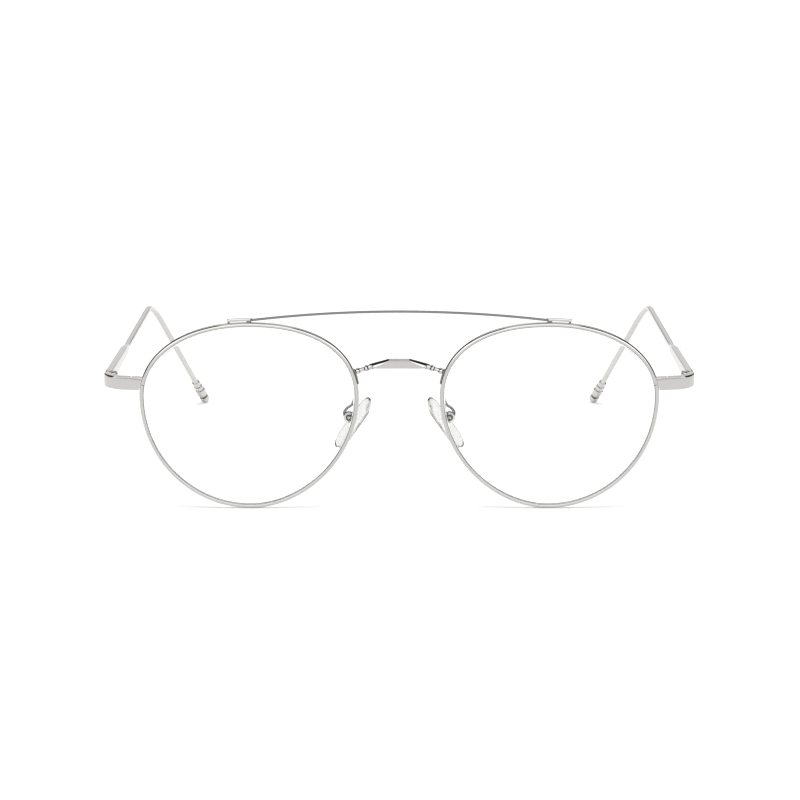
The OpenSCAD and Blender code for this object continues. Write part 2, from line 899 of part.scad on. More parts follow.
// The pad itself, with its back on the YZ plane and its crown towards +X.
module pad_body() {
    end_r = pad_w / 2;
    small_r = end_r * pad_narrow;
    reach = pad_len / 2;
    crown = pad_rim_t + 0.55;
    intersection() {
        rotate([0, 90, 0])
            linear_extrude(height = crown)
                hull() {
                    translate([reach - end_r, 0])
                        circle(r = end_r);
                    translate([-reach + small_r, 0])
                        circle(r = small_r);
                }
        translate([crown - pad_crown_r, 0, 0])
            sphere(r = pad_crown_r, $fn = 200);
    }
}

bridge();
brow_bar();

on_side(-1) rim();  // left_rim
on_side(-1) lens();  // left_lens
on_side(-1) end_piece();  // left_end_piece
on_side(-1) closing_block(1);  // left_upper_block
on_side(-1) closing_block(-1);  // left_lower_block
on_side(-1) lock_screw();  // left_lock_screw
on_side(-1) front_hinge();  // left_front_hinge
on_side(-1) hinge_screw();  // left_hinge_screw
on_side(-1) pad_arm();  // left_pad_arm
on_side(-1) pad_screw();  // left_pad_screw
on_side(-1) nose_pad();  // left_nose_pad
on_side(-1) temple();  // left_temple
on_side(-1) temple_hinge();  // left_temple_hinge
on_side(-1) tip_knob();  // left_tip_knob
on_side(-1) tip_cap();  // left_tip_cap

on_side(1) rim();  // right_rim
on_side(1) lens();  // right_lens
on_side(1) end_piece();  // right_end_piece
on_side(1) closing_block(1);  // right_upper_block
on_side(1) closing_block(-1);  // right_lower_block
on_side(1) lock_screw();  // right_lock_screw
on_side(1) front_hinge();  // right_front_hinge
on_side(1) hinge_screw();  // right_hinge_screw
on_side(1) pad_arm();  // right_pad_arm
on_side(1) pad_screw();  // right_pad_screw
on_side(1) nose_pad();  // right_nose_pad
on_side(1) temple();  // right_temple
on_side(1) temple_hinge();  // right_temple_hinge
on_side(1) tip_knob();  // right_tip_knob
on_side(1) tip_cap();  // right_tip_cap
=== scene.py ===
"""Looks of a double-bridge wire eyeglass frame with clear lenses.

The pieces are modelled in millimetres, in the directions of the part's own source: X runs
across the face, Y from the front to the temple tips, and Z up. The side at -X is modelled,
and the side at +X is its mirror image. A finished piece is carried into metres, with the
middle of the part's depth at Y = 0.
"""

import logging
import math
from collections.abc import Mapping, Sequence
from dataclasses import dataclass, field, replace
from enum import Enum

import bmesh
import bpy
from bmesh.types import BMEdge, BMesh, BMVert
from mathutils import Matrix, Vector


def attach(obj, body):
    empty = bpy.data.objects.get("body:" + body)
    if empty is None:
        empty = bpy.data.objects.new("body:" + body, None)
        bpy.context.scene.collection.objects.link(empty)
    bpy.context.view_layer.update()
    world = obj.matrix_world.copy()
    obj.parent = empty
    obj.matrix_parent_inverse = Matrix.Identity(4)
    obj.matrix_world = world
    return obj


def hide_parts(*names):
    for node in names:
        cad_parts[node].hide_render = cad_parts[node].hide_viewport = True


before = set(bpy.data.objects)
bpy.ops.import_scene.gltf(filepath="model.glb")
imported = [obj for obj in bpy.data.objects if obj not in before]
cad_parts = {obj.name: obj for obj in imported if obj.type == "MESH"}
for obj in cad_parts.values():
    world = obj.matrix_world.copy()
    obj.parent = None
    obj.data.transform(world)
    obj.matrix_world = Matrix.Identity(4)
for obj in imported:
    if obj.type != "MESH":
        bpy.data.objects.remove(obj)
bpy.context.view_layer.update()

LOG = logging.getLogger("eyeglass_frame")
MM = 0.001
# Share of an eased rim's width at which its profile turns.
RIM_TURN = 0.3
# Widest rounding of a screw head's rim, in millimetres.
HEAD_EDGE = 0.1


class Side(Enum):
    """The two sides of the frame, as the photograph shows them."""

    LEFT = "left"
    RIGHT = "right"

    def node(self, piece: str) -> str:
        """Returns the name that a piece has on this side."""
        return f"{self.value}_{piece}"


class Body(Enum):
    """The bodies that pieces ride on."""

    FRONT = "front"
    TEMPLE = "temple"
    PAD = "pad"

    def on(self, side: Side) -> str:
        """Returns the body's name on one side."""
        return "front" if self is Body.FRONT else side.node(self.value)


def signed_power(value: float, power: float) -> float:
    """Returns the value's size raised to a power, with its sign kept."""
    return math.copysign(abs(value) ** power, value)


def turned_about(axis: str, degrees: float) -> Matrix:
    """Returns a rotation by an angle in degrees about a main axis."""
    return Matrix.Rotation(math.radians(degrees), 4, axis)


def moved(x: float, y: float, z: float) -> Matrix:
    """Returns a move by three distances in millimetres."""
    return Matrix.Translation((x, y, z))


def eased(share: float) -> float:
    """Returns a share from 0 to 1 with a soft start and end."""
    return share * share * (3 - 2 * share)


@dataclass(frozen=True)
class LensShape:
    """Outline and curve of the lens, and the eyewire's section beside it."""

    width: float = 50.0
    height: float = 45.0
    gap: float = 20.0
    widest_share: float = 0.4
    thickness: float = 1.3
    base_radius: float = 132.0
    tilt: float = 9.0
    lift: float = 26.9771
    fullness: tuple[float, float, float, float] = (2.25, 2.05, 1.88, 2.03)
    wire_in: float = -0.5
    wire_out: float = 0.58
    wire_half: float = 0.7
    groove_mouth: float = 0.4
    groove_floor: float = 0.03
    seat_gap: float = 0.02

    @property
    def eye_x(self) -> float:
        """Returns the distance of a lens's middle from the nose."""
        return (self.width + self.gap) / 2

    @property
    def top(self) -> float:
        """Returns the lens's height over its widest line."""
        return self.height * self.widest_share

    @property
    def middle(self) -> float:
        """Returns the height of the lens's middle over its widest line."""
        return self.top - self.height / 2

    def full_at(self, angle: float) -> float:
        """Returns the outline's fullness in the quarter of an angle.

        Args:
            angle: Angle round the outline, in radians.

        Returns:
            The power of the oval in that quarter.
        """
        top_nose, top_side, low_nose, low_side = self.fullness
        above, nose = math.sin(angle) >= 0, math.cos(angle) >= 0
        if above:
            return top_nose if nose else top_side
        return low_nose if nose else low_side

    def edge(self, degrees: float) -> Vector:
        """Returns a point of the outline, with 0 towards the nose and 90 up.

        Args:
            degrees: Angle round the outline.

        Returns:
            Distance towards the nose, and height.
        """
        angle = math.radians(degrees)
        power = 2 / self.full_at(angle)
        tall = self.top if math.sin(angle) >= 0 else self.height - self.top
        return Vector((
            self.width / 2 * signed_power(math.cos(angle), power),
            tall * signed_power(math.sin(angle), power),
        ))

    def outward(self, degrees: float) -> Vector:
        """Returns the outline's outward direction at an angle."""
        step = self.edge(degrees + 1) - self.edge(degrees - 1)
        return Vector((step.y, -step.x)).normalized()

    def sag(self, across: float, up: float) -> float:
        """Returns how far the curved front falls back at a place on the lens."""
        rise = up - self.middle
        return self.base_radius - math.sqrt(self.base_radius**2 - across**2 - rise**2)

    def beside(self, degrees: float, out: float, back: float) -> Vector:
        """Returns a place beside the outline.

        Args:
            degrees: Angle round the outline.
            out: Distance outwards from the lens edge.
            back: Distance behind the curved middle line.

        Returns:
            The place in the upright front's own directions.
        """
        spot = self.edge(degrees) + out * self.outward(degrees)
        return Vector((spot.x - self.eye_x, self.sag(spot.x, spot.y) + back, spot.y))

    def inside(self, degrees: float, share: float, back: float) -> Vector:
        """Returns a place on the lens at a share of the way out from its middle.

        Args:
            degrees: Angle round the outline.
            share: 0 at the middle, 1 at the edge.
            back: Distance behind the curved middle line.

        Returns:
            The place in the upright front's own directions.
        """
        rim = self.edge(degrees)
        across, up = rim.x * share, self.middle + (rim.y - self.middle) * share
        return Vector((across - self.eye_x, self.sag(across, up) + back, up))

    def nose_angle(self, up: float) -> float:
        """Returns the angle at which the nose side passes a height."""
        return math.degrees(math.asin((up / self.top) ** (self.fullness[0] / 2)))

    def side_angle(self, up: float) -> float:
        """Returns the angle at which the temple side passes a height."""
        return 180 - math.degrees(math.asin((up / self.top) ** (self.fullness[1] / 2)))

    @property
    def leaning(self) -> Matrix:
        """Returns the lean and lift of everything on the front."""
        return moved(0, 0, self.lift) @ turned_about("X", self.tilt)


@dataclass(frozen=True)
class Layout:
    """Places and directions that several sub-assemblies share."""

    lens: LensShape = field(default_factory=LensShape)
    mid_y: float = 67.7797
    outer_x: float = 69.45
    strip_t: float = 1.7
    strip_h: float = 2.95
    strip_up: float = 0.15
    corner_r: float = 6.0
    corner_y: float = 8.80301
    sweep: float = 13.0
    run_reach: float = 4.81641
    hinge_rise: float = 3.6
    hinge_back: float = 10.0
    hinge_h: float = 2.7
    knuckle_r: float = 1.05
    pin_in: float = 0.3
    knuckle_gap: float = 0.06
    turn_fit: float = 0.12
    tool_reach: float = 3.0
    cover: float = 0.8
    block_from: float = 1.71641
    butt_gap: float = 0.2
    leaf_t: float = 0.65
    leaf_h: float = 2.1
    temple_rise: float = 2.06956
    blade_inward: float = 0.15
    straight_len: float = 94.8993
    bend_angle: float = 50.0
    bend_lean: float = 19.0
    tip_len: float = 48.0
    pad_box: tuple[float, float, float] = (-11.95, 8.0, 21.8)

    @property
    def hinge_z(self) -> float:
        """Returns the height of the hinge's middle."""
        return self.lens.lift + self.hinge_rise

    @property
    def knuckle_h(self) -> float:
        """Returns the height of one knuckle."""
        return (self.hinge_h - 2 * self.knuckle_gap) / 3

    @property
    def turn_r(self) -> float:
        """Returns the radius of the room in which the knuckles turn."""
        return self.knuckle_r + self.turn_fit

    @property
    def row(self) -> Matrix:
        """Returns the change from the source's millimetres to the row's metres."""
        return Matrix.Scale(MM, 4) @ moved(0, -self.mid_y, 0)

    @property
    def pin(self) -> Matrix:
        """Returns the place of the hinge pin's middle, with Z along it."""
        return moved(self.strip_t + self.pin_in - self.outer_x, self.hinge_back, self.hinge_z)

    @property
    def corner(self) -> Matrix:
        """Returns the centre of the end piece's corner."""
        return moved(self.corner_r - self.outer_x, self.corner_y, self.hinge_z)

    @property
    def run(self) -> Matrix:
        """Returns the end piece's straight front: +X from the corner to the rim, +Y back."""
        return self.corner @ turned_about("Z", -self.sweep) @ moved(0, -self.corner_r, 0)

    @property
    def temple(self) -> Matrix:
        """Returns the temple's own directions: +Y along the blade, +X towards the head."""
        start = moved(self.strip_t / 2 - self.outer_x, self.hinge_back, self.hinge_z)
        return start @ turned_about("Z", -self.blade_inward) @ turned_about("X", self.temple_rise)

    @property
    def tip(self) -> Matrix:
        """Returns the tip's own directions: +Z along the tip, from the bend's corner.

        Returns:
            The place and turn of the tip.
        """
        corner = self.temple @ moved(0, self.straight_len, 0)
        lean = turned_about("Y", -self.bend_lean)
        return corner @ lean @ turned_about("X", -90 - self.bend_angle)

    @property
    def pad_axis(self) -> Matrix:
        """Returns the pad screw's middle, with Z along the screw towards the front."""
        return moved(*self.pad_box) @ turned_about("X", 90)

    @property
    def rim_plane(self) -> tuple[Vector, Vector]:
        """Returns a point and outward direction of the eyewire where the end piece meets it.

        Returns:
            The point and the direction, with the lean of the front.
        """
        angle = self.lens.side_angle(self.hinge_rise)
        spot = self.lens.beside(angle, self.lens.wire_out + self.lens.seat_gap, 0)
        out = self.lens.outward(angle)
        lean = self.lens.leaning
        return lean @ spot, lean.to_3x3() @ Vector((out.x, 0, out.y))


def round_edges(mesh: BMesh, edges: Sequence[BMEdge], width: float, steps: int) -> None:
    """Rounds the given edges of a mesh."""
    bmesh.ops.bevel(
        mesh, geom=list(edges), offset=width, offset_type="OFFSET", segments=steps,
        profile=0.5, affect="EDGES", clamp_overlap=True, material=-1,
    )


def facing_out(mesh: BMesh) -> BMesh:
    """Turns every face outwards and returns the mesh."""
    bmesh.ops.recalc_face_normals(mesh, faces=mesh.faces[:])
    return mesh


def sharp_edges(mesh: BMesh, degrees: float) -> list[BMEdge]:
    """Returns the outward corners of a mesh that turn by more than an angle.

    Args:
        mesh: The closed mesh.
        degrees: Least turn of a corner.

    Returns:
        The edges at those corners.
    """
    mesh.normal_update()
    least = math.radians(degrees)
    return [
        edge for edge in mesh.edges
        if len(edge.link_faces) == 2 and edge.is_convex and edge.calc_face_angle(0) > least
    ]


def soften(mesh: BMesh, width: float, steps: int = 2, degrees: float = 35) -> BMesh:
    """Rounds every outward corner that is sharper than an angle.

    Args:
        mesh: The closed mesh.
        width: Width of the rounding.
        steps: Faces across the rounding.
        degrees: Least turn of a corner that is rounded.

    Returns:
        The same mesh.
    """
    bmesh.ops.recalc_face_normals(mesh, faces=mesh.faces[:])
    round_edges(mesh, sharp_edges(mesh, degrees), width, steps)
    return mesh


def swept(rings: Sequence[Sequence[Vector]], capped: bool = True) -> BMesh:
    """Grows a solid from a first ring of points through the ones that follow.

    Args:
        rings: Rings with the same number of points each.
        capped: Whether flat faces close the two ends.

    Returns:
        The solid.
    """
    mesh = bmesh.new()
    count = len(rings[0])
    verts = [mesh.verts.new(point) for point in rings[0]]
    edges = [mesh.edges.new((verts[i], verts[(i + 1) % count])) for i in range(count)]
    first = list(edges)
    for points in rings[1:]:
        grown = bmesh.ops.extrude_edge_only(mesh, edges=edges)["geom"]
        fresh = {item for item in grown if isinstance(item, BMVert)}
        following = []
        for vert, point in zip(verts, points):
            rail = next(edge for edge in vert.link_edges if edge.other_vert(vert) in fresh)
            following.append(rail.other_vert(vert))
            following[-1].co = point
        verts = following
        edges = [mesh.edges.get((verts[i], verts[(i + 1) % count])) for i in range(count)]
    if capped:
        bmesh.ops.contextual_create(mesh, geom=first)
        bmesh.ops.contextual_create(mesh, geom=edges)
    return mesh


def lathe(profile: Sequence[tuple[float, float]], steps: int = 48, bored: bool = False) -> BMesh:
    """Turns a profile about Z.

    Args:
        profile: Heights and radii, from one end to the other.
        steps: Faces round the axis.
        bored: Whether the profile closes on itself round a bore.

    Returns:
        The turned solid.
    """
    mesh = bmesh.new()
    verts = [mesh.verts.new((radius, 0, height)) for height, radius in profile]
    pairs = list(zip(verts, verts[1:])) + ([(verts[-1], verts[0])] if bored else [])
    edges = [mesh.edges.new(pair) for pair in pairs]
    bmesh.ops.spin(
        mesh, geom=verts + edges, cent=(0, 0, 0), axis=(0, 0, 1), angle=math.tau,
        steps=steps, use_merge=True, use_normal_flip=False, use_duplicate=False,
    )
    bmesh.ops.remove_doubles(mesh, verts=mesh.verts[:], dist=1e-4)
    bmesh.ops.recalc_face_normals(mesh, faces=mesh.faces[:])
    return mesh


def rod(low: float, high: float, radius: float, steps: int = 48) -> BMesh:
    """Returns a plain round bar about Z between two heights."""
    return lathe([(low, 0), (low, radius), (high, radius), (high, 0)], steps)


def collar(low: float, high: float, inner: float, outer: float, steps: int) -> BMesh:
    """Returns a bored ring about Z between two heights."""
    return lathe([(low, inner), (low, outer), (high, outer), (high, inner)], steps, bored=True)


def shank(low: float, high: float, radius: float, point: float = 0.08) -> BMesh:
    """Returns a screw's shank between two heights, bevelled at its lower end."""
    return lathe([(low, 0), (low, radius - point), (low + point, radius), (high, radius), (high, 0)])


def eased_start(low: float, radius: float, edge: float) -> list[tuple[float, float]]:
    """Returns the profile of a turned step's eased lower rim."""
    turn = edge * RIM_TURN
    return [(low, radius - edge), (low + turn, radius - turn), (low + edge, radius)]


def eased_step(low: float, high: float, radius: float, edge: float) -> list[tuple[float, float]]:
    """Returns the profile of a turned step with both its rims eased.

    Args:
        low: Height of its lower end.
        high: Height of its upper end.
        radius: Radius of the step.
        edge: Width of the eased rims.

    Returns:
        Heights and radii, from low to high.
    """
    turn = edge * RIM_TURN
    over = [(high - edge, radius), (high - turn, radius - turn), (high, radius - edge)]
    return eased_start(low, radius, edge) + over


def dome(base: float, height: float, radius: float, steps: int) -> list[tuple[float, float]]:
    """Returns the profile of a dome on a base, which ends on the axis."""
    turns = [math.radians(90 * i / steps) for i in range(steps)]
    return [(base + height * math.sin(a), radius * math.cos(a)) for a in turns] + [(base + height, 0)]


def block(low: Sequence[float], high: Sequence[float]) -> BMesh:
    """Returns a box between two corners.

    Args:
        low: Lowest X, Y and Z.
        high: Highest X, Y and Z.

    Returns:
        The box.
    """
    mesh = bmesh.new()
    size = [b - a for a, b in zip(low, high)]
    middle = [(a + b) / 2 for a, b in zip(low, high)]
    bmesh.ops.create_cube(mesh, size=1, matrix=moved(*middle) @ Matrix.Diagonal((*size, 1)))
    return mesh


def linked(name: str, data: bpy.types.ID) -> bpy.types.Object:
    """Makes an object of a mesh, a lamp or a camera, links it to the scene and returns it.

    Args:
        name: Name of the object.
        data: The mesh, lamp or camera.

    Returns:
        The object.
    """
    made = bpy.data.objects.new(name, data)
    bpy.context.scene.collection.objects.link(made)
    return made


def put(mesh: BMesh, place: Matrix) -> BMesh:
    """Carries a mesh to its place and returns it."""
    bmesh.ops.transform(mesh, matrix=place, verts=mesh.verts[:])
    return mesh


def trim(mesh: BMesh, point: Vector, outward: Vector) -> BMesh:
    """Cuts away what lies behind a plane, and closes the cut.

    Args:
        mesh: The closed mesh.
        point: A point of the plane.
        outward: Direction of the side that is kept.

    Returns:
        The same mesh.
    """
    cut = bmesh.ops.bisect_plane(
        mesh, geom=mesh.verts[:] + mesh.edges[:] + mesh.faces[:], dist=1e-5,
        plane_co=point, plane_no=outward, clear_inner=True, clear_outer=False,
    )["geom_cut"]
    bmesh.ops.contextual_create(mesh, geom=[item for item in cut if isinstance(item, BMEdge)])
    return mesh


def together(*meshes: BMesh) -> BMesh:
    """Puts several closed shells into the first mesh and returns it.

    Args:
        *meshes: The shells. All but the first are freed.

    Returns:
        The first mesh.
    """
    whole = meshes[0]
    for extra in meshes[1:]:
        held = bpy.data.meshes.new("extra")
        extra.to_mesh(held)
        whole.from_mesh(held)
        bpy.data.meshes.remove(held)
        extra.free()
    return whole


class Cut(Enum):
    """What a Boolean does with the second shape."""

    AWAY = "DIFFERENCE"
    JOIN = "UNION"


def combined(mesh: BMesh, other: BMesh, cut: Cut) -> BMesh:
    """Cuts one closed shape out of another, or joins the two into one skin.

    Args:
        mesh: The shape that is kept.
        other: The shape that is taken away or joined.
        cut: Which of the two is done.

    Returns:
        A new mesh with the result.
    """
    held = []
    for name, source in (("kept", mesh), ("tool", other)):
        bmesh.ops.recalc_face_normals(source, faces=source.faces[:])
        data = bpy.data.meshes.new(name)
        source.to_mesh(data)
        source.free()
        held.append(linked(name, data))
    change = held[0].modifiers.new("cut", "BOOLEAN")
    change.operation, change.solver, change.object = cut.value, "EXACT", held[1]
    graph = bpy.context.evaluated_depsgraph_get()
    result = bmesh.new()
    result.from_object(held[0], graph)
    for item in held:
        data = item.data
        bpy.data.objects.remove(item)
        bpy.data.meshes.remove(data)
    return result


def ring_of(middle: Vector, right: Vector, up: Vector, radius: float, count: int) -> list[Vector]:
    """Returns the points of a circle round a place."""
    turns = (math.tau * i / count for i in range(count))
    return [middle + radius * (math.cos(a) * right + math.sin(a) * up) for a in turns]


def smooth_route(points: Sequence[Vector], steps: int) -> list[Vector]:
    """Returns a smooth curve through a list of points.

    Args:
        points: Places that the curve passes.
        steps: Points from one place to the next.

    Returns:
        The points of the curve.
    """
    route = []
    last = len(points) - 1
    for i in range(last):
        a, b, c, d = (points[max(0, i - 1)], points[i], points[i + 1], points[min(last, i + 2)])
        for j in range(steps):
            x = j / steps
            route.append(0.5 * (
                2 * b + (c - a) * x + (2 * a - 5 * b + 4 * c - d) * x * x
                + (3 * b - a - 3 * c + d) * x**3
            ))
    return [*route, points[-1]]


def round_wire(route: Sequence[Vector], radius: float, sides: int) -> BMesh:
    """Sweeps a round section along a route, without twist.

    Args:
        route: Points of the wire's middle line.
        radius: Radius of the wire.
        sides: Faces round the wire.

    Returns:
        The wire.
    """
    rings, side = [], Vector((1, 0, 0))
    for i, place in enumerate(route):
        step = route[min(len(route) - 1, i + 1)] - route[max(0, i - 1)]
        along = step.normalized()
        side = (side - along * side.dot(along)).normalized()
        rings.append(ring_of(place, side, along.cross(side), radius, sides))
    return swept(rings)


def slotted_head(radius: float, height: float, slot: float, deep: float) -> BMesh:
    """Models a cheese head with a driver's slot.

    Args:
        radius: Radius of the head.
        height: Height of the head, from Z = 0 up.
        slot: Width of the slot.
        deep: Depth of the slot.

    Returns:
        The head.
    """
    edge = min(HEAD_EDGE, height / 3)
    head = lathe([(0, 0), (0, radius), (height - edge, radius), (height, radius - edge), (height, 0)])
    tool = block((-2 * radius, -slot / 2, height - deep), (2 * radius, slot / 2, height + 1))
    return combined(head, tool, Cut.AWAY)


def linear(code: str) -> tuple[float, float, float, float]:
    """Turns an sRGB hex colour into linear values.

    Args:
        code: Six hex digits after a hash sign.

    Returns:
        Linear red, green, blue and full alpha.
    """
    parts = [int(code[i:i + 2], 16) / 255 for i in (1, 3, 5)]
    red, green, blue = (
        part / 12.92 if part <= 0.04045 else ((part + 0.055) / 1.055) ** 2.4 for part in parts
    )
    return red, green, blue, 1.0


def add_node(
    tree: bpy.types.NodeTree, kind: str, inputs: Mapping[str | int, object] | None = None,
    **settings: object,
) -> bpy.types.Node:
    """Adds a node with its settings and links.

    Args:
        tree: The node tree.
        kind: The node's type.
        inputs: Values of its sockets, or the sockets of other nodes that feed them.
        **settings: The node's own properties.

    Returns:
        The new node.
    """
    node = tree.nodes.new(kind)
    for name, value in settings.items():
        setattr(node, name, value)
    for name, value in (inputs or {}).items():
        if isinstance(value, bpy.types.NodeSocket):
            tree.links.new(value, node.inputs[name])
        else:
            node.inputs[name].default_value = value
    return node


def fresh_material(name: str) -> tuple[bpy.types.Material, bpy.types.NodeTree]:
    """Returns a new material and its emptied node tree.

    Args:
        name: Name of the material.

    Returns:
        The material and its node tree.
    """
    material = bpy.data.materials.new(name)
    material.use_nodes = True
    material.node_tree.nodes.clear()
    return material, material.node_tree


class Lay(Enum):
    """The way in which the marks of a metal's making run."""

    BUFFED = "buffed"
    ACROSS = "across"
    LENGTHWISE = "lengthwise"
    TURNED = "turned"


@dataclass(frozen=True)
class Metal:
    """A bare or plated metal, with the marks of its making.

    The marks are drawn by a stretched noise whose spacing is given in millimetres. They vary
    the roughness and give a shallow bump.
    """

    name: str
    slot: str
    colour: str
    worn: str
    roughness: float
    spread: float
    mark_mm: float
    stretch: float
    lay: Lay
    bump_mm: float = 0.0004
    cloud_mm: float = 6.0

    def scale(self) -> tuple[float, float, float]:
        """Returns the pattern's scale along X, Y and Z, in turns per metre.

        Returns:
            The three scales.
        """
        fine = 1 / (self.mark_mm * MM)
        coarse = fine / self.stretch
        return {
            Lay.BUFFED: (fine, fine, fine),
            Lay.ACROSS: (coarse, fine, fine),
            Lay.LENGTHWISE: (fine, coarse, fine),
            Lay.TURNED: (coarse, coarse, fine),
        }[self.lay]

    def material(self, turn: Sequence[float]) -> bpy.types.Material:
        """Builds the material.

        Args:
            turn: Euler angles that bring the piece's axis to Z.

        Returns:
            The material.
        """
        material, tree = fresh_material(self.name)
        place = add_node(tree, "ShaderNodeTexCoord").outputs["Object"]
        lined = add_node(
            tree, "ShaderNodeMapping", {"Vector": place, "Rotation": tuple(turn)},
            vector_type="POINT",
        )
        sized = add_node(
            tree, "ShaderNodeMapping", {"Vector": lined.outputs[0], "Scale": self.scale()},
            vector_type="POINT",
        )
        marks = add_node(
            tree, "ShaderNodeTexNoise",
            {"Vector": sized.outputs[0], "Scale": 1.0, "Detail": 3.0, "Roughness": 0.55},
        )
        cloud = add_node(
            tree, "ShaderNodeTexNoise",
            {"Vector": place, "Scale": 1 / (self.cloud_mm * MM), "Detail": 2.0, "Roughness": 0.5},
        )
        rough = add_node(
            tree, "ShaderNodeMapRange",
            {"Value": marks.outputs["Fac"], "From Min": 0.3, "From Max": 0.7,
             "To Min": self.roughness - self.spread, "To Max": self.roughness + self.spread},
        )
        tone = add_node(
            tree, "ShaderNodeMix",
            {0: cloud.outputs["Fac"], 6: linear(self.colour), 7: linear(self.worn)},
            data_type="RGBA",
        )
        bump = add_node(
            tree, "ShaderNodeBump",
            {"Height": marks.outputs["Fac"], "Strength": 0.35, "Distance": self.bump_mm * MM},
        )
        shader = add_node(
            tree, "ShaderNodeBsdfPrincipled",
            {"Base Color": tone.outputs[2], "Roughness": rough.outputs[0],
             "Normal": bump.outputs[0], "Metallic": 1.0},
        )
        add_node(tree, "ShaderNodeOutputMaterial", {"Surface": shader.outputs[0]})
        return material


@dataclass(frozen=True)
class Clear:
    """A clear moulded or ground material that light passes through, with a dark outline painted where
    it is seen edge-on.
    """

    name: str
    slot: str
    colour: str
    # Colour painted where the surface is seen edge-on: a dark outline of painted shade.
    edge: str
    ior: float
    roughness: float
    spread: float
    mark_mm: float
    bump_mm: float

    def material(self) -> bpy.types.Material:
        """Builds the material.

        Returns:
            The material.
        """
        material, tree = fresh_material(self.name)
        # Towards an edge-on view the colour turns to the edge colour, which paints a dark outline.
        facing = add_node(tree, "ShaderNodeLayerWeight", {"Blend": 0.35}).outputs["Facing"]
        tone = add_node(
            tree, "ShaderNodeMix",
            {0: facing, 6: linear(self.colour), 7: linear(self.edge)}, data_type="RGBA",
        )
        place = add_node(tree, "ShaderNodeTexCoord").outputs["Object"]
        marks = add_node(
            tree, "ShaderNodeTexNoise",
            {"Vector": place, "Scale": 1 / (self.mark_mm * MM), "Detail": 2.0},
        )
        rough = add_node(
            tree, "ShaderNodeMapRange",
            {"Value": marks.outputs["Fac"], "From Min": 0.3, "From Max": 0.7,
             "To Min": max(0.0, self.roughness - self.spread),
             "To Max": self.roughness + self.spread},
        )
        bump = add_node(
            tree, "ShaderNodeBump",
            {"Height": marks.outputs["Fac"], "Strength": 0.2, "Distance": self.bump_mm * MM},
        )
        shader = add_node(
            tree, "ShaderNodeBsdfPrincipled",
            {"Base Color": tone.outputs[2], "Roughness": rough.outputs[0],
             "Normal": bump.outputs[0], "IOR": self.ior, "Transmission Weight": 1.0},
        )
        add_node(tree, "ShaderNodeOutputMaterial", {"Surface": shader.outputs[0]})
        return material


# Nickel silver, plated and buffed: a mirror with faint haze between the buffed patches.
PLATE = Metal(
    "plated_nickel_silver_buffed", "eyewire", "#CFCDCB", "#C8C6C4", roughness=0.06, spread=0.02,
    mark_mm=0.5, stretch=1.0, lay=Lay.BUFFED,
)
# The same plate on the flat end pieces, lapped along their length before plating.
LAPPED = Metal(
    "plated_nickel_silver_lapped", "end_piece", "#CFCDCB", "#C8C6C4", roughness=0.07, spread=0.02,
    mark_mm=0.12, stretch=12.0, lay=Lay.ACROSS,
)
# Solid bridge, coined and buffed: fine haze, a little greyer in the coined face.
COINED = Metal(
    "plated_nickel_silver_coined", "bridge", "#CDCBC9", "#C2C0BE", roughness=0.06, spread=0.02,
    mark_mm=0.35, stretch=1.0, lay=Lay.BUFFED,
)
# Drawn round wire of the brow bar: faint lines run along it, and it is darker than the plate.
DRAWN = Metal(
    "drawn_wire_brow_bar", "bridge", "#868482", "#7C7A79", roughness=0.12, spread=0.03,
    mark_mm=0.1, stretch=20.0, lay=Lay.ACROSS,
)
# Rolled blade and drawn rod of the temples: faint lines run along them.
ROLLED = Metal(
    "rolled_temple_blade_and_rod", "temple", "#D8D6D4", "#D1CFCD", roughness=0.1, spread=0.03,
    mark_mm=0.12, stretch=20.0, lay=Lay.LENGTHWISE,
)
# Turned arms of the bridge, soldered to the plate and buffed with it: a small, even haze.
ARM = Metal(
    "turned_bridge_arms", "bridge", "#D0CECC", "#C6C4C2", roughness=0.05, spread=0.02,
    mark_mm=0.2, stretch=1.0, lay=Lay.BUFFED,
)
# Bar-turned knob, with rings from the lathe drawn coarser than the real 0.03 mm feed.
TURNED = Metal(
    "turned_nickel_silver", "tip", "#D6D4D2", "#CCCAC8", roughness=0.06, spread=0.02,
    mark_mm=0.16, stretch=10.0, lay=Lay.TURNED,
)
# Painted shade for the knob's turned grooves: a dark, dull tone that stands in for the shade falling in
# them.
GROOVE_SHADE = Metal(
    "painted_groove_shade", "tip", "#343332", "#2B2A29", roughness=0.3, spread=0.06,
    mark_mm=0.16, stretch=10.0, lay=Lay.TURNED,
)
# The same painted shade, on the dark rings in the grooves of the bridge arms.
ARM_GROOVE_SHADE = replace(GROOVE_SHADE, name="painted_arm_groove_shade", slot="bridge")
# Soft wire of the pad arms, bent and barrel-polished, darker than the plate.
BENT = Metal(
    "bent_pad_arm_wire", "pad_arm", "#8A8886", "#7C7A78", roughness=0.08, spread=0.03,
    mark_mm=0.3, stretch=1.0, lay=Lay.BUFFED,
)
# Drawn hinge stock, cut and plated: a soft mirror with marks round the barrel.
HINGE = Metal(
    "plated_hinge_stock", "hinge", "#CBC9C7", "#BDBBB9", roughness=0.12, spread=0.04,
    mark_mm=0.15, stretch=6.0, lay=Lay.TURNED,
)
# Stainless steel screws, turned and tumbled: a little greyer and softer than the plate.
SCREW = Metal(
    "stainless_screw_steel", "screw", "#BDBCBB", "#AEADAC", roughness=0.12, spread=0.04,
    mark_mm=0.1, stretch=6.0, lay=Lay.TURNED,
)
# Moulded clear silicone: soft gloss with a slight orange peel, and a grey outline of painted shade
# where it is seen edge-on.
# Silicone's own IOR is about 1.41, and 1.2 is matched to the pads in the photograph.
SILICONE = Clear(
    "clear_silicone_moulded", "nose_pad", "#FDFDFB", "#A8A8A6", ior=1.2, roughness=0.02,
    spread=0.015, mark_mm=0.8, bump_mm=0.002,
)
# The same silicone at the parting edge, a little cloudy from the mould, with the same painted edge-on
# outline.
PARTING = Clear(
    "clear_silicone_parting_edge", "nose_pad", "#EFEFED", "#B4B4B2", ior=1.14, roughness=0.02,
    spread=0.015, mark_mm=0.8, bump_mm=0.002,
)
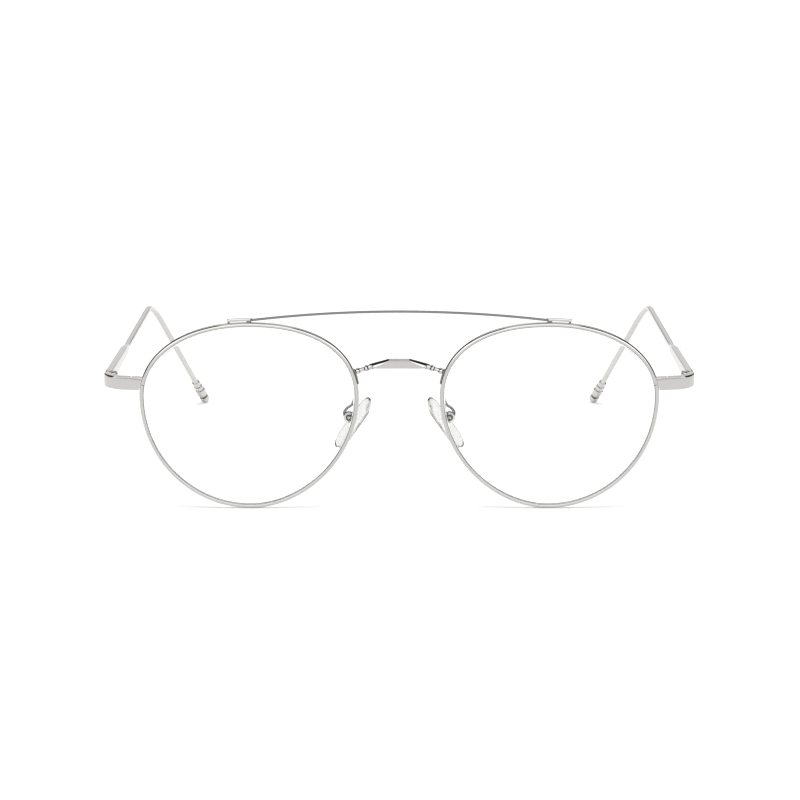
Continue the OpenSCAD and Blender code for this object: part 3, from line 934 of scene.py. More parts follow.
# Ground and polished lens resin: water clear, with a trace of polishing haze.
LENS_RESIN = Clear(
    "clear_lens_resin_polished", "lens", "#FCFDFC", "#FCFDFC", ior=1.5, roughness=0.004,
    spread=0.004, mark_mm=3.0, bump_mm=0.0002,
)


class Wardrobe:
    """Keeps each finish's material, so that pieces share it."""

    made: dict[tuple, bpy.types.Material] = {}

    @classmethod
    def material(cls, look: Metal | Clear, turn: Sequence[float]) -> bpy.types.Material:
        """Returns the material of a finish, built when it is first asked for.

        Args:
            look: The finish.
            turn: Euler angles that bring the piece's axis to Z.

        Returns:
            The shared material.
        """
        key = (look.name, tuple(round(x, 4) for x in turn))
        if key not in cls.made:
            cls.made[key] = look.material(turn) if isinstance(look, Metal) else look.material()
        return cls.made[key]


@dataclass
class Assembly:
    """Base of the sub-assemblies: it knows the layout and finishes pieces."""

    layout: Layout

    def finish(
        self, mesh: BMesh, name: str, side: Side, body: Body, nodes: Sequence[str],
        look: Metal | Clear, turn: Sequence[float] = (0, 0, 0), smooth: float = 32,
    ) -> bpy.types.Object:
        """Carries a modelled mesh into the row and makes it a dressed piece.

        Args:
            mesh: The mesh in millimetres, modelled for the left side.
            name: Name of the piece.
            side: Side that the piece is on.
            body: Body that it rides on.
            nodes: CAD nodes that it stands for.
            look: Its finish.
            turn: Euler angles that bring its axis to Z for the finish.
            smooth: Turn in degrees over which an edge stays sharp.

        Returns:
            The finished object.
        """
        place = self.layout.row
        if side is Side.RIGHT:
            place = Matrix.Diagonal((-1, 1, 1, 1)) @ place
        put(mesh, place)
        bmesh.ops.remove_doubles(mesh, verts=mesh.verts[:], dist=1e-7)
        bmesh.ops.dissolve_degenerate(mesh, edges=mesh.edges[:], dist=1e-8)
        bmesh.ops.recalc_face_normals(mesh, faces=mesh.faces[:])
        data = bpy.data.meshes.new(name)
        mesh.to_mesh(data)
        mesh.free()
        data.shade_smooth()
        data.set_sharp_from_angle(angle=math.radians(smooth))
        piece = linked(name, data)
        data.materials.append(Wardrobe.material(look, turn))
        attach(piece, body.on(side))
        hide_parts(*nodes)
        LOG.info("%s: %d faces on %s", name, len(data.polygons), body.on(side))
        return piece


@dataclass
class Eyewire(Assembly):
    """The grooved wire round one lens, split behind the end piece."""

    stations: int = 300
    section_points: int = 36
    section_power: float = 2.2
    half_depth: float = 0.6
    split_gap: float = 0.25
    split_drop: float = 0.4

    def section(self) -> list[tuple[float, float]]:
        """Returns the oval section as distance outwards and backwards, open at the groove.

        Returns:
            The points, of which the first lies on the groove's floor.
        """
        lens = self.layout.lens
        half = (lens.wire_out - lens.wire_in) / 2
        middle = (lens.wire_out + lens.wire_in) / 2
        lip = math.asin((lens.groove_mouth / self.half_depth) ** (self.section_power / 2))
        power = 2 / self.section_power
        points = [(lens.groove_floor, 0.0)]
        for i in range(self.section_points):
            turn = math.pi - lip - i * 2 * (math.pi - lip) / (self.section_points - 1)
            points.append((
                middle + half * signed_power(math.cos(turn), power),
                self.half_depth * signed_power(math.sin(turn), power),
            ))
        return points

    def build(self, side: Side) -> None:
        """Sweeps the section round the lens.

        Args:
            side: Side that it is on.
        """
        lens = self.layout.lens
        split = lens.side_angle(self.layout.hinge_rise - self.split_drop)
        half = math.degrees(self.split_gap / lens.width)
        step = (360 - 2 * half) / self.stations
        angles = [split + half + i * step for i in range(self.stations + 1)]
        corners = self.section()
        mesh = swept([[lens.beside(a, out, back) for out, back in corners] for a in angles])
        name = side.node("eyewire")
        self.finish(put(mesh, lens.leaning), name, side, Body.FRONT, [side.node("rim")], PLATE)


@dataclass
class Lens(Assembly):
    """A clear meniscus lens with its bevel in the groove."""

    stations: int = 144
    bevel: float = 0.33
    rim_fit: float = 0.05
    edge_round: tuple[tuple[float, float], ...] = ((0.16, 0.0), (0.05, 0.03), (0.0, 0.12))
    shares: tuple[float, ...] = (0.06, 0.2, 0.36, 0.52, 0.68, 0.82, 0.93)

    def build(self, side: Side) -> None:
        """Lofts the lens from its front pole over the bevelled edge to its back.

        Args:
            side: Side that it is on.
        """
        lens = self.layout.lens
        half, rim = lens.thickness / 2, lens.wire_in - self.rim_fit
        turns = [i * 360 / self.stations for i in range(self.stations)]
        front = [(rim - inward, deep - half) for inward, deep in self.edge_round]
        rear = [(out, -back) for out, back in reversed(front)]
        edge = [*front, (rim, -self.bevel), (0, 0), (rim, self.bevel), *rear]
        rings = [[lens.inside(a, share, -half) for a in turns] for share in self.shares]
        rings += [[lens.beside(a, out, back) for a in turns] for out, back in edge]
        rings += [[lens.inside(a, share, half) for a in turns] for share in reversed(self.shares)]
        mesh = put(swept(rings), lens.leaning)
        name = side.node("clear_lens")
        piece = self.finish(mesh, name, side, Body.FRONT, [side.node("lens")], LENS_RESIN, smooth=12)
        piece.visible_shadow = False
        piece.visible_diffuse = False


@dataclass
class BrowBar(Assembly):
    """The thin bar over the bridge, with its flattened feet."""

    radius: float = 0.28
    rise: float = 21.18
    foot_t: float = 0.75
    foot_band: tuple[float, float] = (0.24, 0.95)
    foot_edge: float = 0.22
    solder: tuple[float, float] = (-0.04, 0.4)
    solder_ends: tuple[tuple[float, float], ...] = ((88.6, 90.4), (98.7, 99.8))
    solder_half: float = 0.2
    solder_edge: float = 0.08
    foot_half: float = 0.24
    foot_drop: float = 0.22
    foot_in: float = 0.9
    foot_from: float = 88.2
    foot_to: float = 100.0
    overlap: float = 0.05
    end_edge: float = 0.12
    stations: int = 96
    sides: int = 20

    def build(self) -> None:
        """Sweeps the bar and its two feet."""
        lens = self.layout.lens
        foot_top = lens.top + lens.wire_out + self.foot_t - self.foot_drop
        foot_x = lens.eye_x - self.foot_in
        fall = self.rise - foot_top
        curve = (foot_x**2 + fall**2) / (2 * fall)
        half = math.asin(foot_x / curve) + math.radians(self.overlap)
        middle = Vector((0, lens.sag(0, lens.top), self.rise - curve))
        rings = []
        for i in range(self.stations + 1):
            turn = half * (2 * i / self.stations - 1)
            out = Vector((math.sin(turn), 0, math.cos(turn)))
            place = middle + curve * out
            rings.append(ring_of(place, out, Vector((0, 1, 0)), self.radius, self.sides))
        bar = put(soften(swept(rings), self.end_edge, 3, 60), lens.leaning)
        self.finish(bar, "brow_bar_wire", Side.LEFT, Body.FRONT, ["brow_bar"], DRAWN)
        for side in Side:
            span = (self.foot_from, self.foot_to)
            foot = wire_foot(lens, span, self.foot_band, self.foot_half, self.foot_edge)
            name = side.node("brow_bar_foot")
            self.finish(put(foot, lens.leaning), name, side, Body.FRONT, ["brow_bar"], PLATE, smooth=24)
            joints = [
                facing_out(wire_foot(lens, ends, self.solder, self.solder_half, self.solder_edge))
                for ends in self.solder_ends
            ]
            name = side.node("brow_bar_solder")
            mesh = put(together(*joints), lens.leaning)
            self.finish(mesh, name, side, Body.FRONT, ["brow_bar"], DRAWN)


def wire_foot(
    lens: LensShape, span: tuple[float, float], band: tuple[float, float], half: float, edge: float,
) -> BMesh:
    """Models a foot that lies along the outside of the eyewire.

    Args:
        lens: The lens that the eyewire follows.
        span: Angles of its two ends.
        band: Its inner and outer distance from the outside of the eyewire.
        half: Half its depth.
        edge: Rounding of its edges.

    Returns:
        The foot.
    """
    steps = 12
    rings = []
    for i in range(steps + 1):
        angle = span[0] + (span[1] - span[0]) * i / steps
        low, high = lens.wire_out + band[0], lens.wire_out + band[1]
        rings.append([
            lens.beside(angle, high, -half), lens.beside(angle, high, half),
            lens.beside(angle, low, half), lens.beside(angle, low, -half),
        ])
    return soften(swept(rings), edge, 3, 50)


@dataclass
class Bridge(Assembly):
    """The coined plate between two turned arms, with feet along the eyewires."""

    rise: float = 9.85
    height: float = 2.25
    width: float = 14.4
    thick: float = 1.3
    setback: float = 0.75
    back_d: float = 0.55
    back_drop: float = 0.5
    chamfer_d: float = 0.75
    plate_edge: float = 0.03
    edge_line: tuple[tuple[float, float], ...] = ((2.38, 0), (7.2, -1.4), (6.9, -2.15), (5.6, -2.25))
    ridge_line: tuple[tuple[float, float, float], ...] = (
        (2.3, -0.3, 0.23), (6.2, -1.64, 0.3), (6.2, -2.1, 0.2), (5.6, -2.23, 0.12),
    )
    crease_line: tuple[tuple[float, float, float], ...] = (
        (2.22, -0.34, 0.21), (5.5, -1.78, 0.06), (5.7, -2.12, 0.05), (5.55, -2.21, 0.04),
    )
    face_line: tuple[tuple[float, float, float], ...] = (
        (1.9, -1.25, 0), (4.9, -1.9, 0), (5.4, -2.14, 0), (5.3, -2.19, 0),
    )
    arm_from: tuple[float, float] = (1.0, 0.35)
    arm_back: float = 0.1
    arm_goal: tuple[float, float] = (0.6, 0.25)
    arm_tail: float = 0.45
    arm_core: float = 0.46
    arm_base: tuple[tuple[float, float], ...] = ((0, 0.62), (0.86, 0.62), (0.98, 0.5))
    arm_necks: tuple[float, float] = (1.1, 1.92)
    arm_bead: tuple[tuple[float, float], ...] = (
        (1.2, 0.52), (1.3, 0.7), (1.38, 0.76), (1.62, 0.76), (1.7, 0.7), (1.8, 0.52),
    )
    bead_necks: tuple[float, float] = (-0.2, 0.7)
    bead_line: tuple[tuple[float, float], ...] = (
        (-0.08, 0.56), (0.06, 0.7), (0.25, 0.74), (0.44, 0.7), (0.58, 0.56),
    )
    # Dark rings in the arm's grooves, which paint the shade that falls in them.
    ring_in: float = 0.1
    ring_out: float = 0.05
    plate_grooves: tuple[tuple[float, float], ...] = ((1.0, 1.2), (1.82, 2.04))
    bead_grooves: tuple[tuple[float, float], ...] = ((-0.3, -0.1), (0.6, 0.8))
    bead_len: float = 0.5
    foot_span: tuple[float, float] = (3.2, 6.6)
    foot_band: tuple[float, float] = (-0.04, 0.3)
    foot_half: float = 0.45
    foot_edge: float = 0.14
    sides: int = 32

    def plate(self) -> BMesh:
        """Returns the plate: long chamfers on its shoulders run down to a ridge beside the face.

        Returns:
            The plate, upright.
        """
        middle = self.layout.lens.sag(0, self.rise) + self.setback
        front = middle - self.thick / 2
        layers = [
            [(x, max(z - self.back_drop, -self.height), self.thick) for x, z in self.edge_line],
            [(x, z, self.thick - self.back_d) for x, z in self.edge_line],
            [(x, z, self.chamfer_d) for x, z in self.edge_line],
            self.ridge_line, self.crease_line, self.face_line,
        ]
        rings = []
        for line in layers:
            half = [Vector((x, front + deep, self.rise + z)) for x, z, deep in line]
            rings.append(half + [Vector((-p.x, p.y, p.z)) for p in reversed(half)])
        return soften(swept(rings), self.plate_edge, 2, 12)

    def arm(self) -> tuple[BMesh, BMesh]:
        """Returns a turned arm from the plate to the eyewire, and dark rings of painted shade in its
        grooves.

        Returns:
            The arm and its rings, upright.
        """
        lens = self.layout.lens
        plate_y = lens.sag(0, self.rise) + self.setback
        start = Vector((
            self.arm_from[0] - self.width / 2,
            plate_y + self.arm_back,
            self.rise - self.height + self.arm_from[1],
        ))
        drop, out = self.arm_goal
        goal = lens.beside(lens.nose_angle(self.foot_span[1] - drop), lens.wire_out + out, 0)
        along = goal - start
        bead = along.length - self.arm_tail - self.bead_len
        core = self.arm_core
        profile = [
            (0, 0), *self.arm_base, (self.arm_necks[0], core), *self.arm_bead,
            (self.arm_necks[1], core), (bead + self.bead_necks[0], core),
            *((bead + up, radius) for up, radius in self.bead_line),
            (bead + self.bead_necks[1], core), (along.length, core), (along.length, 0),
        ]
        place = Matrix.Translation(start) @ along.to_track_quat("Z", "Y").to_matrix().to_4x4()
        grooves = [*self.plate_grooves, *((bead + a, bead + b) for a, b in self.bead_grooves)]
        # Dark rings in the grooves: painted shade.
        rings = [
            collar(low, high, core - self.ring_in, core + self.ring_out, self.sides)
            for low, high in grooves
        ]
        return put(lathe(profile, self.sides), place), put(together(*rings), place)

    def build(self) -> None:
        """Models the plate, and the two arms with their feet along the eyewires."""
        lens = self.layout.lens
        plate = put(self.plate(), lens.leaning)
        self.finish(plate, "bridge_plate", Side.LEFT, Body.FRONT, ["bridge"], COINED, smooth=14)
        span = (lens.nose_angle(self.foot_span[0]), lens.nose_angle(self.foot_span[1]))
        for side in Side:
            arm, rings = self.arm()
            foot = facing_out(wire_foot(lens, span, self.foot_band, self.foot_half, self.foot_edge))
            for name, mesh, look in (
                ("bridge_arm", arm, ARM), ("bridge_arm_groove_shade", rings, ARM_GROOVE_SHADE),
                ("bridge_foot", foot, DRAWN),
            ):
                put(mesh, lens.leaning)
                self.finish(mesh, side.node(name), side, Body.FRONT, ["bridge"], look, smooth=25)


@dataclass
class EndPiece(Assembly):
    """The flat strip from the eyewire round the corner to the hinge."""

    front_edge: tuple[float, float] = (0.16, 0.42)
    edge_grows: float = 0.4
    back_edge: float = 0.12
    overrun: float = 3.0
    step_wall: float = 0.02
    corner_steps: int = 28

    def section(self, place: Matrix, thick: float, share: float = 0.0) -> list[Vector]:
        """Returns the strip's section, with three facets at each corner.

        Args:
            place: Place of the strip's outer face, with Y towards the inside.
            thick: Thickness of the strip there.
            share: 0 where the outer corners are small, 1 where they are large.

        Returns:
            The ring's points.
        """
        half, top = self.layout.strip_h / 2, self.layout.strip_h / 2 + self.layout.strip_up
        ring = []
        front = self.front_edge[0] + (self.front_edge[1] - self.front_edge[0]) * share
        for y, z, turn, edge in (
            (0, top, 90, front), (0, -half, 180, front),
            (thick, -half, 270, self.back_edge), (thick, top, 0, self.back_edge),
        ):
            centre = Vector((0, y + math.copysign(edge, thick / 2 - y), z - math.copysign(edge, z)))
            for step in (0, 30, 60, 90):
                a = math.radians(turn + step)
                ring.append(place @ (centre + edge * Vector((0, math.cos(a), math.sin(a)))))
        return ring

    def build(self, side: Side) -> None:
        """Sweeps the strip and fits it to the eyewire and the hinge.

        Args:
            side: Side that it is on.
        """
        at = self.layout
        step = at.block_from - at.lens.seat_gap
        rings = [
            self.section(at.run @ moved(at.run_reach + self.overrun, 0, 0), at.cover),
            self.section(at.run @ moved(step, 0, 0), at.cover),
            self.section(at.run @ moved(step - self.step_wall, 0, 0), at.strip_t),
        ]
        for i in range(self.corner_steps + 1):
            turn = -at.sweep - (90 - at.sweep) * i / self.corner_steps
            place = at.corner @ turned_about("Z", turn) @ moved(0, -at.corner_r, 0)
            grown = eased(min(1.0, i / self.corner_steps / self.edge_grows))
            rings.append(self.section(place, at.strip_t, grown))
        end = at.hinge_back - at.butt_gap / 2 - at.corner_y
        last = at.corner @ turned_about("Z", -90) @ moved(-end, -at.corner_r, 0)
        rings.append(self.section(last, at.strip_t, 1.0))
        mesh = trim(swept(rings), *at.rim_plane)
        tool = rod(-at.tool_reach, at.tool_reach, at.turn_r)
        mesh = combined(mesh, put(tool, at.pin), Cut.AWAY)
        name = side.node("end_piece_strip")
        self.finish(mesh, name, side, Body.FRONT, [side.node("end_piece")], LAPPED, smooth=24)


@dataclass
class ClosingBlocks(Assembly):
    """The two blocks on the eyewire's ends, and the screw that draws them together."""

    deep: float = 2.1
    tall: float = 1.28
    overrun: float = 2.0
    seam: float = 0.14
    screw_at: float = 1.25
    pin_r: float = 0.4
    bore_reach: float = 4.0
    head_r: float = 0.7
    head_h: float = 0.35
    head_sink: float = 0.05
    slot: tuple[float, float] = (0.22, 0.16)
    slot_turn: float = 25.0
    edge: float = 0.14

    def build(self, side: Side) -> None:
        """Models both blocks and their screw.

        Args:
            side: Side that it is on.
        """
        at = self.layout
        axis = at.run @ moved(at.block_from + self.screw_at, at.cover + self.deep / 2, 0)
        seat = self.seam / 2 + self.tall - self.head_h
        low_end = -self.seam / 2 - self.tall
        for name, low in (("upper_block", self.seam / 2), ("lower_block", low_end)):
            solid = block(
                (at.block_from, at.cover, low),
                (at.run_reach + self.overrun, at.cover + self.deep, low + self.tall),
            )
            mesh = put(soften(solid, self.edge, 3, 60), at.run)
            trim(mesh, *at.rim_plane)
            fit, reach = at.lens.seat_gap, self.bore_reach
            bore = lathe([
                (-reach, 0), (-reach, self.pin_r + fit), (seat, self.pin_r + fit),
                (seat, self.head_r + fit), (reach, self.head_r + fit), (reach, 0),
            ])
            mesh = combined(mesh, put(bore, axis), Cut.AWAY)
            piece = side.node(f"closing_{name}")
            self.finish(mesh, piece, side, Body.FRONT, [side.node(name)], HINGE)
        head = put(slotted_head(self.head_r, self.head_h, *self.slot), moved(0, 0, seat))
        pin = shank(low_end, seat + self.head_sink, self.pin_r)
        mesh = put(together(head, pin), axis @ turned_about("Z", self.slot_turn))
        piece = side.node("closing_screw")
        self.finish(mesh, piece, side, Body.FRONT, [side.node("lock_screw")], SCREW)


@dataclass
class Hinge(Assembly):
    """The three-knuckle barrel hinge and its screw."""

    pin_r: float = 0.45
    bore_fit: float = 0.02
    pin_fit: float = 0.04
    pin_reach: float = 2.0
    head_r: float = 0.8
    head_h: float = 0.3
    head_sink: float = 0.05
    slot: tuple[float, float] = (0.24, 0.17)
    slot_turn: float = -35.0
    leaf_len: float = 3.4
    leaf_edge: float = 0.1
    leaf_turn: float = 34.0
    leaf_stop: float = 0.75
    leaf_steps: int = 12
    knuckle_edge: float = 0.07

    def knuckle(self, low: float, high: float, bore: float) -> BMesh:
        """Returns one bored knuckle between two heights, with eased rims."""
        barrel = eased_step(low, high, self.layout.knuckle_r, self.knuckle_edge)
        return lathe([(low, bore), *barrel, (high, bore)], bored=True)

    def front_leaf(self) -> BMesh:
        """Returns the front's leaf, which follows the inside of the corner to the knuckles.

        Returns:
            The leaf.
        """
        at = self.layout
        outer = at.corner_r - at.strip_t - at.lens.seat_gap
        half = at.leaf_h / 2
        rings = []
        steps = self.leaf_steps
        turns = [-90 + self.leaf_turn * (1 - i / steps) for i in range(steps + 1)]
        places = [at.corner @ turned_about("Z", turn) for turn in turns]
        straight = at.hinge_back - at.corner_y - at.knuckle_r * self.leaf_stop
        places.append(at.corner @ turned_about("Z", -90) @ moved(-straight, 0, 0))
        for place in places:
            rings.append([place @ Vector((0, y, z)) for y, z in (
                (-outer, half), (-outer, -half), (at.leaf_t - outer, -half), (at.leaf_t - outer, half),
            )])
        return soften(swept(rings), self.leaf_edge, 2, 60)

    def build(self, side: Side) -> None:
        """Models the front half, the temple half and the screw.

        Args:
            side: Side that it is on.
        """
        at = self.layout
        top, third = at.hinge_h / 2, at.knuckle_h
        bore = self.pin_r + self.bore_fit
        upper = put(self.knuckle(top - third, top, bore), at.pin)
        lower = put(self.knuckle(-top, third - top, bore), at.pin)
        room = rod(-third / 2 - at.knuckle_gap, third / 2 + at.knuckle_gap, at.turn_r)
        leaf = combined(self.front_leaf(), put(room, at.pin), Cut.AWAY)
        mesh = together(leaf, upper, lower)
        name = side.node("front_knuckles")
        self.finish(mesh, name, side, Body.FRONT, [side.node("front_hinge")], HINGE)

        inner, start = at.strip_t / 2 + at.lens.seat_gap, at.butt_gap / 2
        leaf = block(
            (inner, start, -at.leaf_h / 2), (inner + at.leaf_t, start + self.leaf_len, at.leaf_h / 2),
        )
        leaf = put(soften(leaf, self.leaf_edge, 2, 60), at.temple)
        for low, high in ((third / 2, at.tool_reach), (-at.tool_reach, -third / 2)):
            leaf = combined(leaf, put(rod(low, high, at.turn_r), at.pin), Cut.AWAY)
        pin_room = rod(-self.pin_reach, self.pin_reach, self.pin_r + self.pin_fit)
        leaf = combined(leaf, put(pin_room, at.pin), Cut.AWAY)
        middle = put(self.knuckle(-third / 2, third / 2, self.pin_r + self.pin_fit), at.pin)
        name = side.node("temple_knuckle")
        self.finish(together(leaf, middle), name, side, Body.TEMPLE, [side.node("temple_hinge")], HINGE)

        head = put(slotted_head(self.head_r, self.head_h, *self.slot), moved(0, 0, top))
        pin = shank(-top, top + self.head_sink, self.pin_r)
        mesh = put(together(head, pin), at.pin @ turned_about("Z", self.slot_turn))
        name = side.node("hinge_pin_screw")
        self.finish(mesh, name, side, Body.FRONT, [side.node("hinge_screw")], SCREW)


@dataclass
class Temple(Assembly):
    """Blade, shoulder, rod and bent tip, drawn from one bar."""

    rod_r: float = 0.78
    blade_len: float = 30.0
    shoulder_len: float = 7.0
    blade_back: float = 2.3
    bend_r: float = 20.0
    rod_stop: float = 44.2
    blade_power: float = 6.0
    rod_power: float = 2.0
    end_edge: float = 0.12
    blade_steps: int = 10
    shoulder_steps: int = 16
    roll_steps: int = 12
    bend_steps: int = 24
    tip_steps: int = 8
    points: int = 32

    def ring(self, s: float, share: float, roll: float) -> list[Vector]:
        """Returns the section at a distance down the temple.

        Args:
            s: Distance from the hinge pin along the straight.
            share: 0 on the blade, 1 on the round rod.
            roll: Turn of the section about the temple, in degrees.

        Returns:
            The ring's points in the temple's own directions.
        """
        at = self.layout
        along = min(1.0, s / self.blade_len)
        tall = at.strip_h + (self.blade_back - at.strip_h) * along + at.strip_up * (1 - along)
        lift = at.strip_up / 2 * (1 - along)
        half_x = at.strip_t / 2 + (self.rod_r - at.strip_t / 2) * share
        half_z = tall / 2 + (self.rod_r - tall / 2) * share
        power = 2 / (self.blade_power + (self.rod_power - self.blade_power) * share)
        turn = math.radians(roll)
        right = Vector((math.cos(turn), 0, math.sin(turn)))
        up = Vector((-math.sin(turn), 0, math.cos(turn)))
        ring = []
        for i in range(self.points):
            a = math.tau * i / self.points
            across, high = signed_power(math.cos(a), power), signed_power(math.sin(a), power)
            ring.append(Vector((0, s, lift)) + half_x * across * right + half_z * high * up)
        return ring

    def route(self) -> list[list[Vector]]:
        """Returns every ring from the hinge round the bend to the knob.

        Returns:
            The rings in the temple's own directions.
        """
        at = self.layout
        rings = [self.ring(at.butt_gap / 2, 0, 0)]
        blade_step = self.blade_steps
        rings += [self.ring(self.blade_len * i / blade_step, 0, 0) for i in range(1, blade_step)]
        for i in range(self.shoulder_steps + 1):
            share = i / self.shoulder_steps
            rings.append(self.ring(self.blade_len + self.shoulder_len * share, eased(share), 0))
        bend = math.radians(at.bend_angle)
        bend_start = at.straight_len - self.bend_r * math.tan(bend / 2)
        rod_start = self.blade_len + self.shoulder_len
        for i in range(1, self.roll_steps + 1):
            share = i / self.roll_steps
            s = rod_start + (bend_start - rod_start) * share
            rings.append(self.ring(s, 1, at.bend_lean * share))
        lean = math.radians(at.bend_lean)
        right = Vector((math.cos(lean), 0, math.sin(lean)))
        up, ahead = Vector((-math.sin(lean), 0, math.cos(lean))), Vector((0, 1, 0))
        start = Vector((0, bend_start, 0))
        for i in range(1, self.bend_steps + 1):
            a = bend * i / self.bend_steps
            place = start + self.bend_r * (math.sin(a) * ahead - (1 - math.cos(a)) * up)
            outer = math.cos(a) * up + math.sin(a) * ahead
            rings.append(ring_of(place, right, outer, self.rod_r, self.points))
        along = math.cos(bend) * ahead - math.sin(bend) * up
        corner = Vector((0, at.straight_len, 0))
        first = self.bend_r * math.tan(bend / 2)
        outer = math.cos(bend) * up + math.sin(bend) * ahead
        for i in range(1, self.tip_steps + 1):
            place = corner + along * (first + (self.rod_stop - first) * i / self.tip_steps)
            rings.append(ring_of(place, right, outer, self.rod_r, self.points))
        return rings

    def build(self, side: Side) -> None:
        """Sweeps the temple and notches it for the front's knuckles.

        Args:
            side: Side that it is on.
        """
        at = self.layout
        mesh = put(soften(swept(self.route()), self.end_edge, 2, 60), at.temple)
        tool = rod(-at.tool_reach, at.tool_reach, at.turn_r)
        mesh = combined(mesh, put(tool, at.pin), Cut.AWAY)
        name = side.node("temple_bar")
        self.finish(mesh, name, side, Body.TEMPLE, [side.node("temple")], ROLLED)


@dataclass
class TipKnob(Assembly):
    """The turned knob and round cap on the end of the rod."""

    start: float = 38.2
    steps: tuple[tuple[float, float], ...] = (
        (1.7, 1.08), (0.3, 0.92), (1.4, 1.22), (0.3, 1.0), (2.6, 1.36),
    )
    groove: tuple[float, float] = (0.95, 1.0)
    groove_cut: float = 0.02
    groove_fit: float = 0.02
    neck_in: float = 0.05
    collar_in: float = 0.1
    collar_out: float = 0.02
    collar_gap: float = 0.03
    bore_r: float = 0.8
    bore_len: float = 5.8
    tip_r: float = 1.25
    edge: float = 0.16
    dome_steps: int = 16
    sides: int = 64

    def axis_turn(self, side: Side) -> tuple[float, float, float]:
        """Returns the Euler angles that bring the knob's axis to Z on one side.

        Args:
            side: Side that the knob is on.

        Returns:
            The angles in radians.
        """
        axis = (self.layout.tip.to_3x3() @ Vector((0, 0, 1))).normalized()
        if side is Side.RIGHT:
            axis.x = -axis.x
        return tuple(axis.rotation_difference(Vector((0, 0, 1))).to_euler())

    def build(self, side: Side) -> None:
        """Turns the knob, the dark rings and neck that paint shade into its grooves, and its cap.

        Args:
            side: Side that it is on.
        """
        profile, collars, low = [(0, self.bore_r)], [], 0.0
        for length, radius in self.steps:
            high = low + length
            if length > 3 * self.edge:
                profile += eased_step(low, high, radius, self.edge)
            else:
                profile += [(low + self.groove_fit, radius), (high - self.groove_fit, radius)]
                inner, outer = radius - self.collar_in, radius + self.collar_out
                gap = self.collar_gap
                collars.append(collar(low + gap, high - gap, inner, outer, self.sides))
            low = high
        profile += [(low, 0), (self.bore_len, 0), (self.bore_len, self.bore_r)]

        at, base = self.layout, self.start + low
        shoulder = base + self.groove[0]
        root = self.groove[1] - self.groove_cut
        neck = rod(base - self.neck_in, shoulder + self.neck_in, root, self.sides)
        round_end = dome(at.tip_len - self.tip_r, self.tip_r, self.tip_r, self.dome_steps)
        cap = lathe(
            [(shoulder, 0), *eased_start(shoulder, self.tip_r, self.edge), *round_end[1:]], self.sides,
        )

        knob_place = at.tip @ moved(0, 0, self.start)
        turn = self.axis_turn(side)
        for name, node, mesh, place, look in (
            ("turned_knob", "tip_knob", lathe(profile, self.sides), knob_place, TURNED),
            # The dark rings and the dark neck are painted shade in the knob's grooves.
            ("knob_groove_shade", "tip_knob", together(*collars), knob_place, GROOVE_SHADE),
            ("cap_groove_shade", "tip_cap", neck, at.tip, GROOVE_SHADE),
            ("turned_cap", "tip_cap", cap, at.tip, TURNED),
        ):
            nodes = [side.node(node)]
            self.finish(put(mesh, place), side.node(name), side, Body.TEMPLE, nodes, look, turn, 40)


@dataclass
class PadArm(Assembly):
    """The looped wire from the eyewire, its slotted box and the screw through it."""

    wire_r: float = 0.33
    box_r: float = 1.25
    box_len: float = 1.9
    slot_w: float = 0.9
    box_edge: float = 0.16
    box_ease: float = 0.05
    slot_wall: float = 0.3
    slot_reach: float = 2.0
    pin_r: float = 0.34
    head_r: float = 0.42
    head_h: float = 0.3
    # A dark disc under the screw's dome, whose rim paints the shade of the hollow round the head.
    seat_r: float = 0.76
    seat_h: float = 0.1
    seat_sink: float = 0.05
    seat_edge: float = 0.08
    foot_angle: float = 1.0
    foot_in: float = 0.15
    leaving: tuple[float, float, float] = (-0.3, 1.65, 0.1)
    bends: tuple[tuple[float, float, float], ...] = (
        (1.2, -2.4, 4.4), (0.6, -0.9, 3), (-0.35, 1, 1.95), (-1.05, 0.75, 1),
    )
    end_in: float = 0.3
    end_up: float = 0.1
    route_steps: int = 10
    wire_sides: int = 18
    dome_steps: int = 8
    sides: int = 40

    def wire(self) -> BMesh:
        """Returns the wire, from the back of the eyewire to the box.

        Returns:
            The wire.
        """
        lens = self.layout.lens
        box = Vector(self.layout.pad_box)
        out = (lens.wire_in + lens.wire_out) / 2
        foot = lens.leaning @ lens.beside(self.foot_angle, out, lens.wire_half - self.foot_in)
        bends = [box + Vector(bend) for bend in self.bends]
        end = box + Vector((self.end_in - self.box_r, 0, self.end_up))
        route = smooth_route([foot, foot + Vector(self.leaving), *bends, end], self.route_steps)
        return round_wire(route, self.wire_r, self.wire_sides)

    def build(self, side: Side) -> None:
        """Models the wire with its box, and the screw.

        Args:
            side: Side that it is on.
        """
        at = self.layout
        half, e, ease = self.box_len / 2, self.box_edge, self.box_ease
        profile = [
            (-half, 0), (-half, self.box_r - e), (-half + ease, self.box_r - ease),
            (-half + e, self.box_r), (half - e, self.box_r), (half - ease, self.box_r - ease),
            (half, self.box_r - e), (half, 0),
        ]
        box = put(lathe(profile), at.pad_axis)
        slot = block(
            (self.slot_wall - self.box_r, -self.slot_w / 2, -self.slot_reach),
            (4 * self.box_r, self.slot_w / 2, self.slot_reach),
        )
        box = combined(box, put(slot, moved(*at.pad_box)), Cut.AWAY)
        node = [side.node("pad_arm")]
        self.finish(box, side.node("pad_box"), side, Body.FRONT, node, PLATE)
        self.finish(self.wire(), side.node("pad_arm_wire"), side, Body.FRONT, node, BENT)

        head = dome(half, self.head_h, self.head_r, self.dome_steps)
        screw = lathe([(-half, 0), (-half, self.pin_r), (half, self.pin_r), *head], self.sides)
        # The dark disc under the screw's head is painted shade for the hollow round it.
        low, top = half - self.seat_sink, half + self.seat_h
        seat = lathe([
            (low, 0), (low, self.seat_r), (half + self.seat_h / 2, self.seat_r),
            (top, self.seat_r - self.seat_edge), (top, 0),
        ], self.sides)
        for name, mesh, look in (("pad_screw_seat_shade", seat, GROOVE_SHADE), ("pad_box_screw", screw, SCREW)):
            put(mesh, at.pad_axis)
            self.finish(mesh, side.node(name), side, Body.FRONT, [side.node("pad_screw")], look)


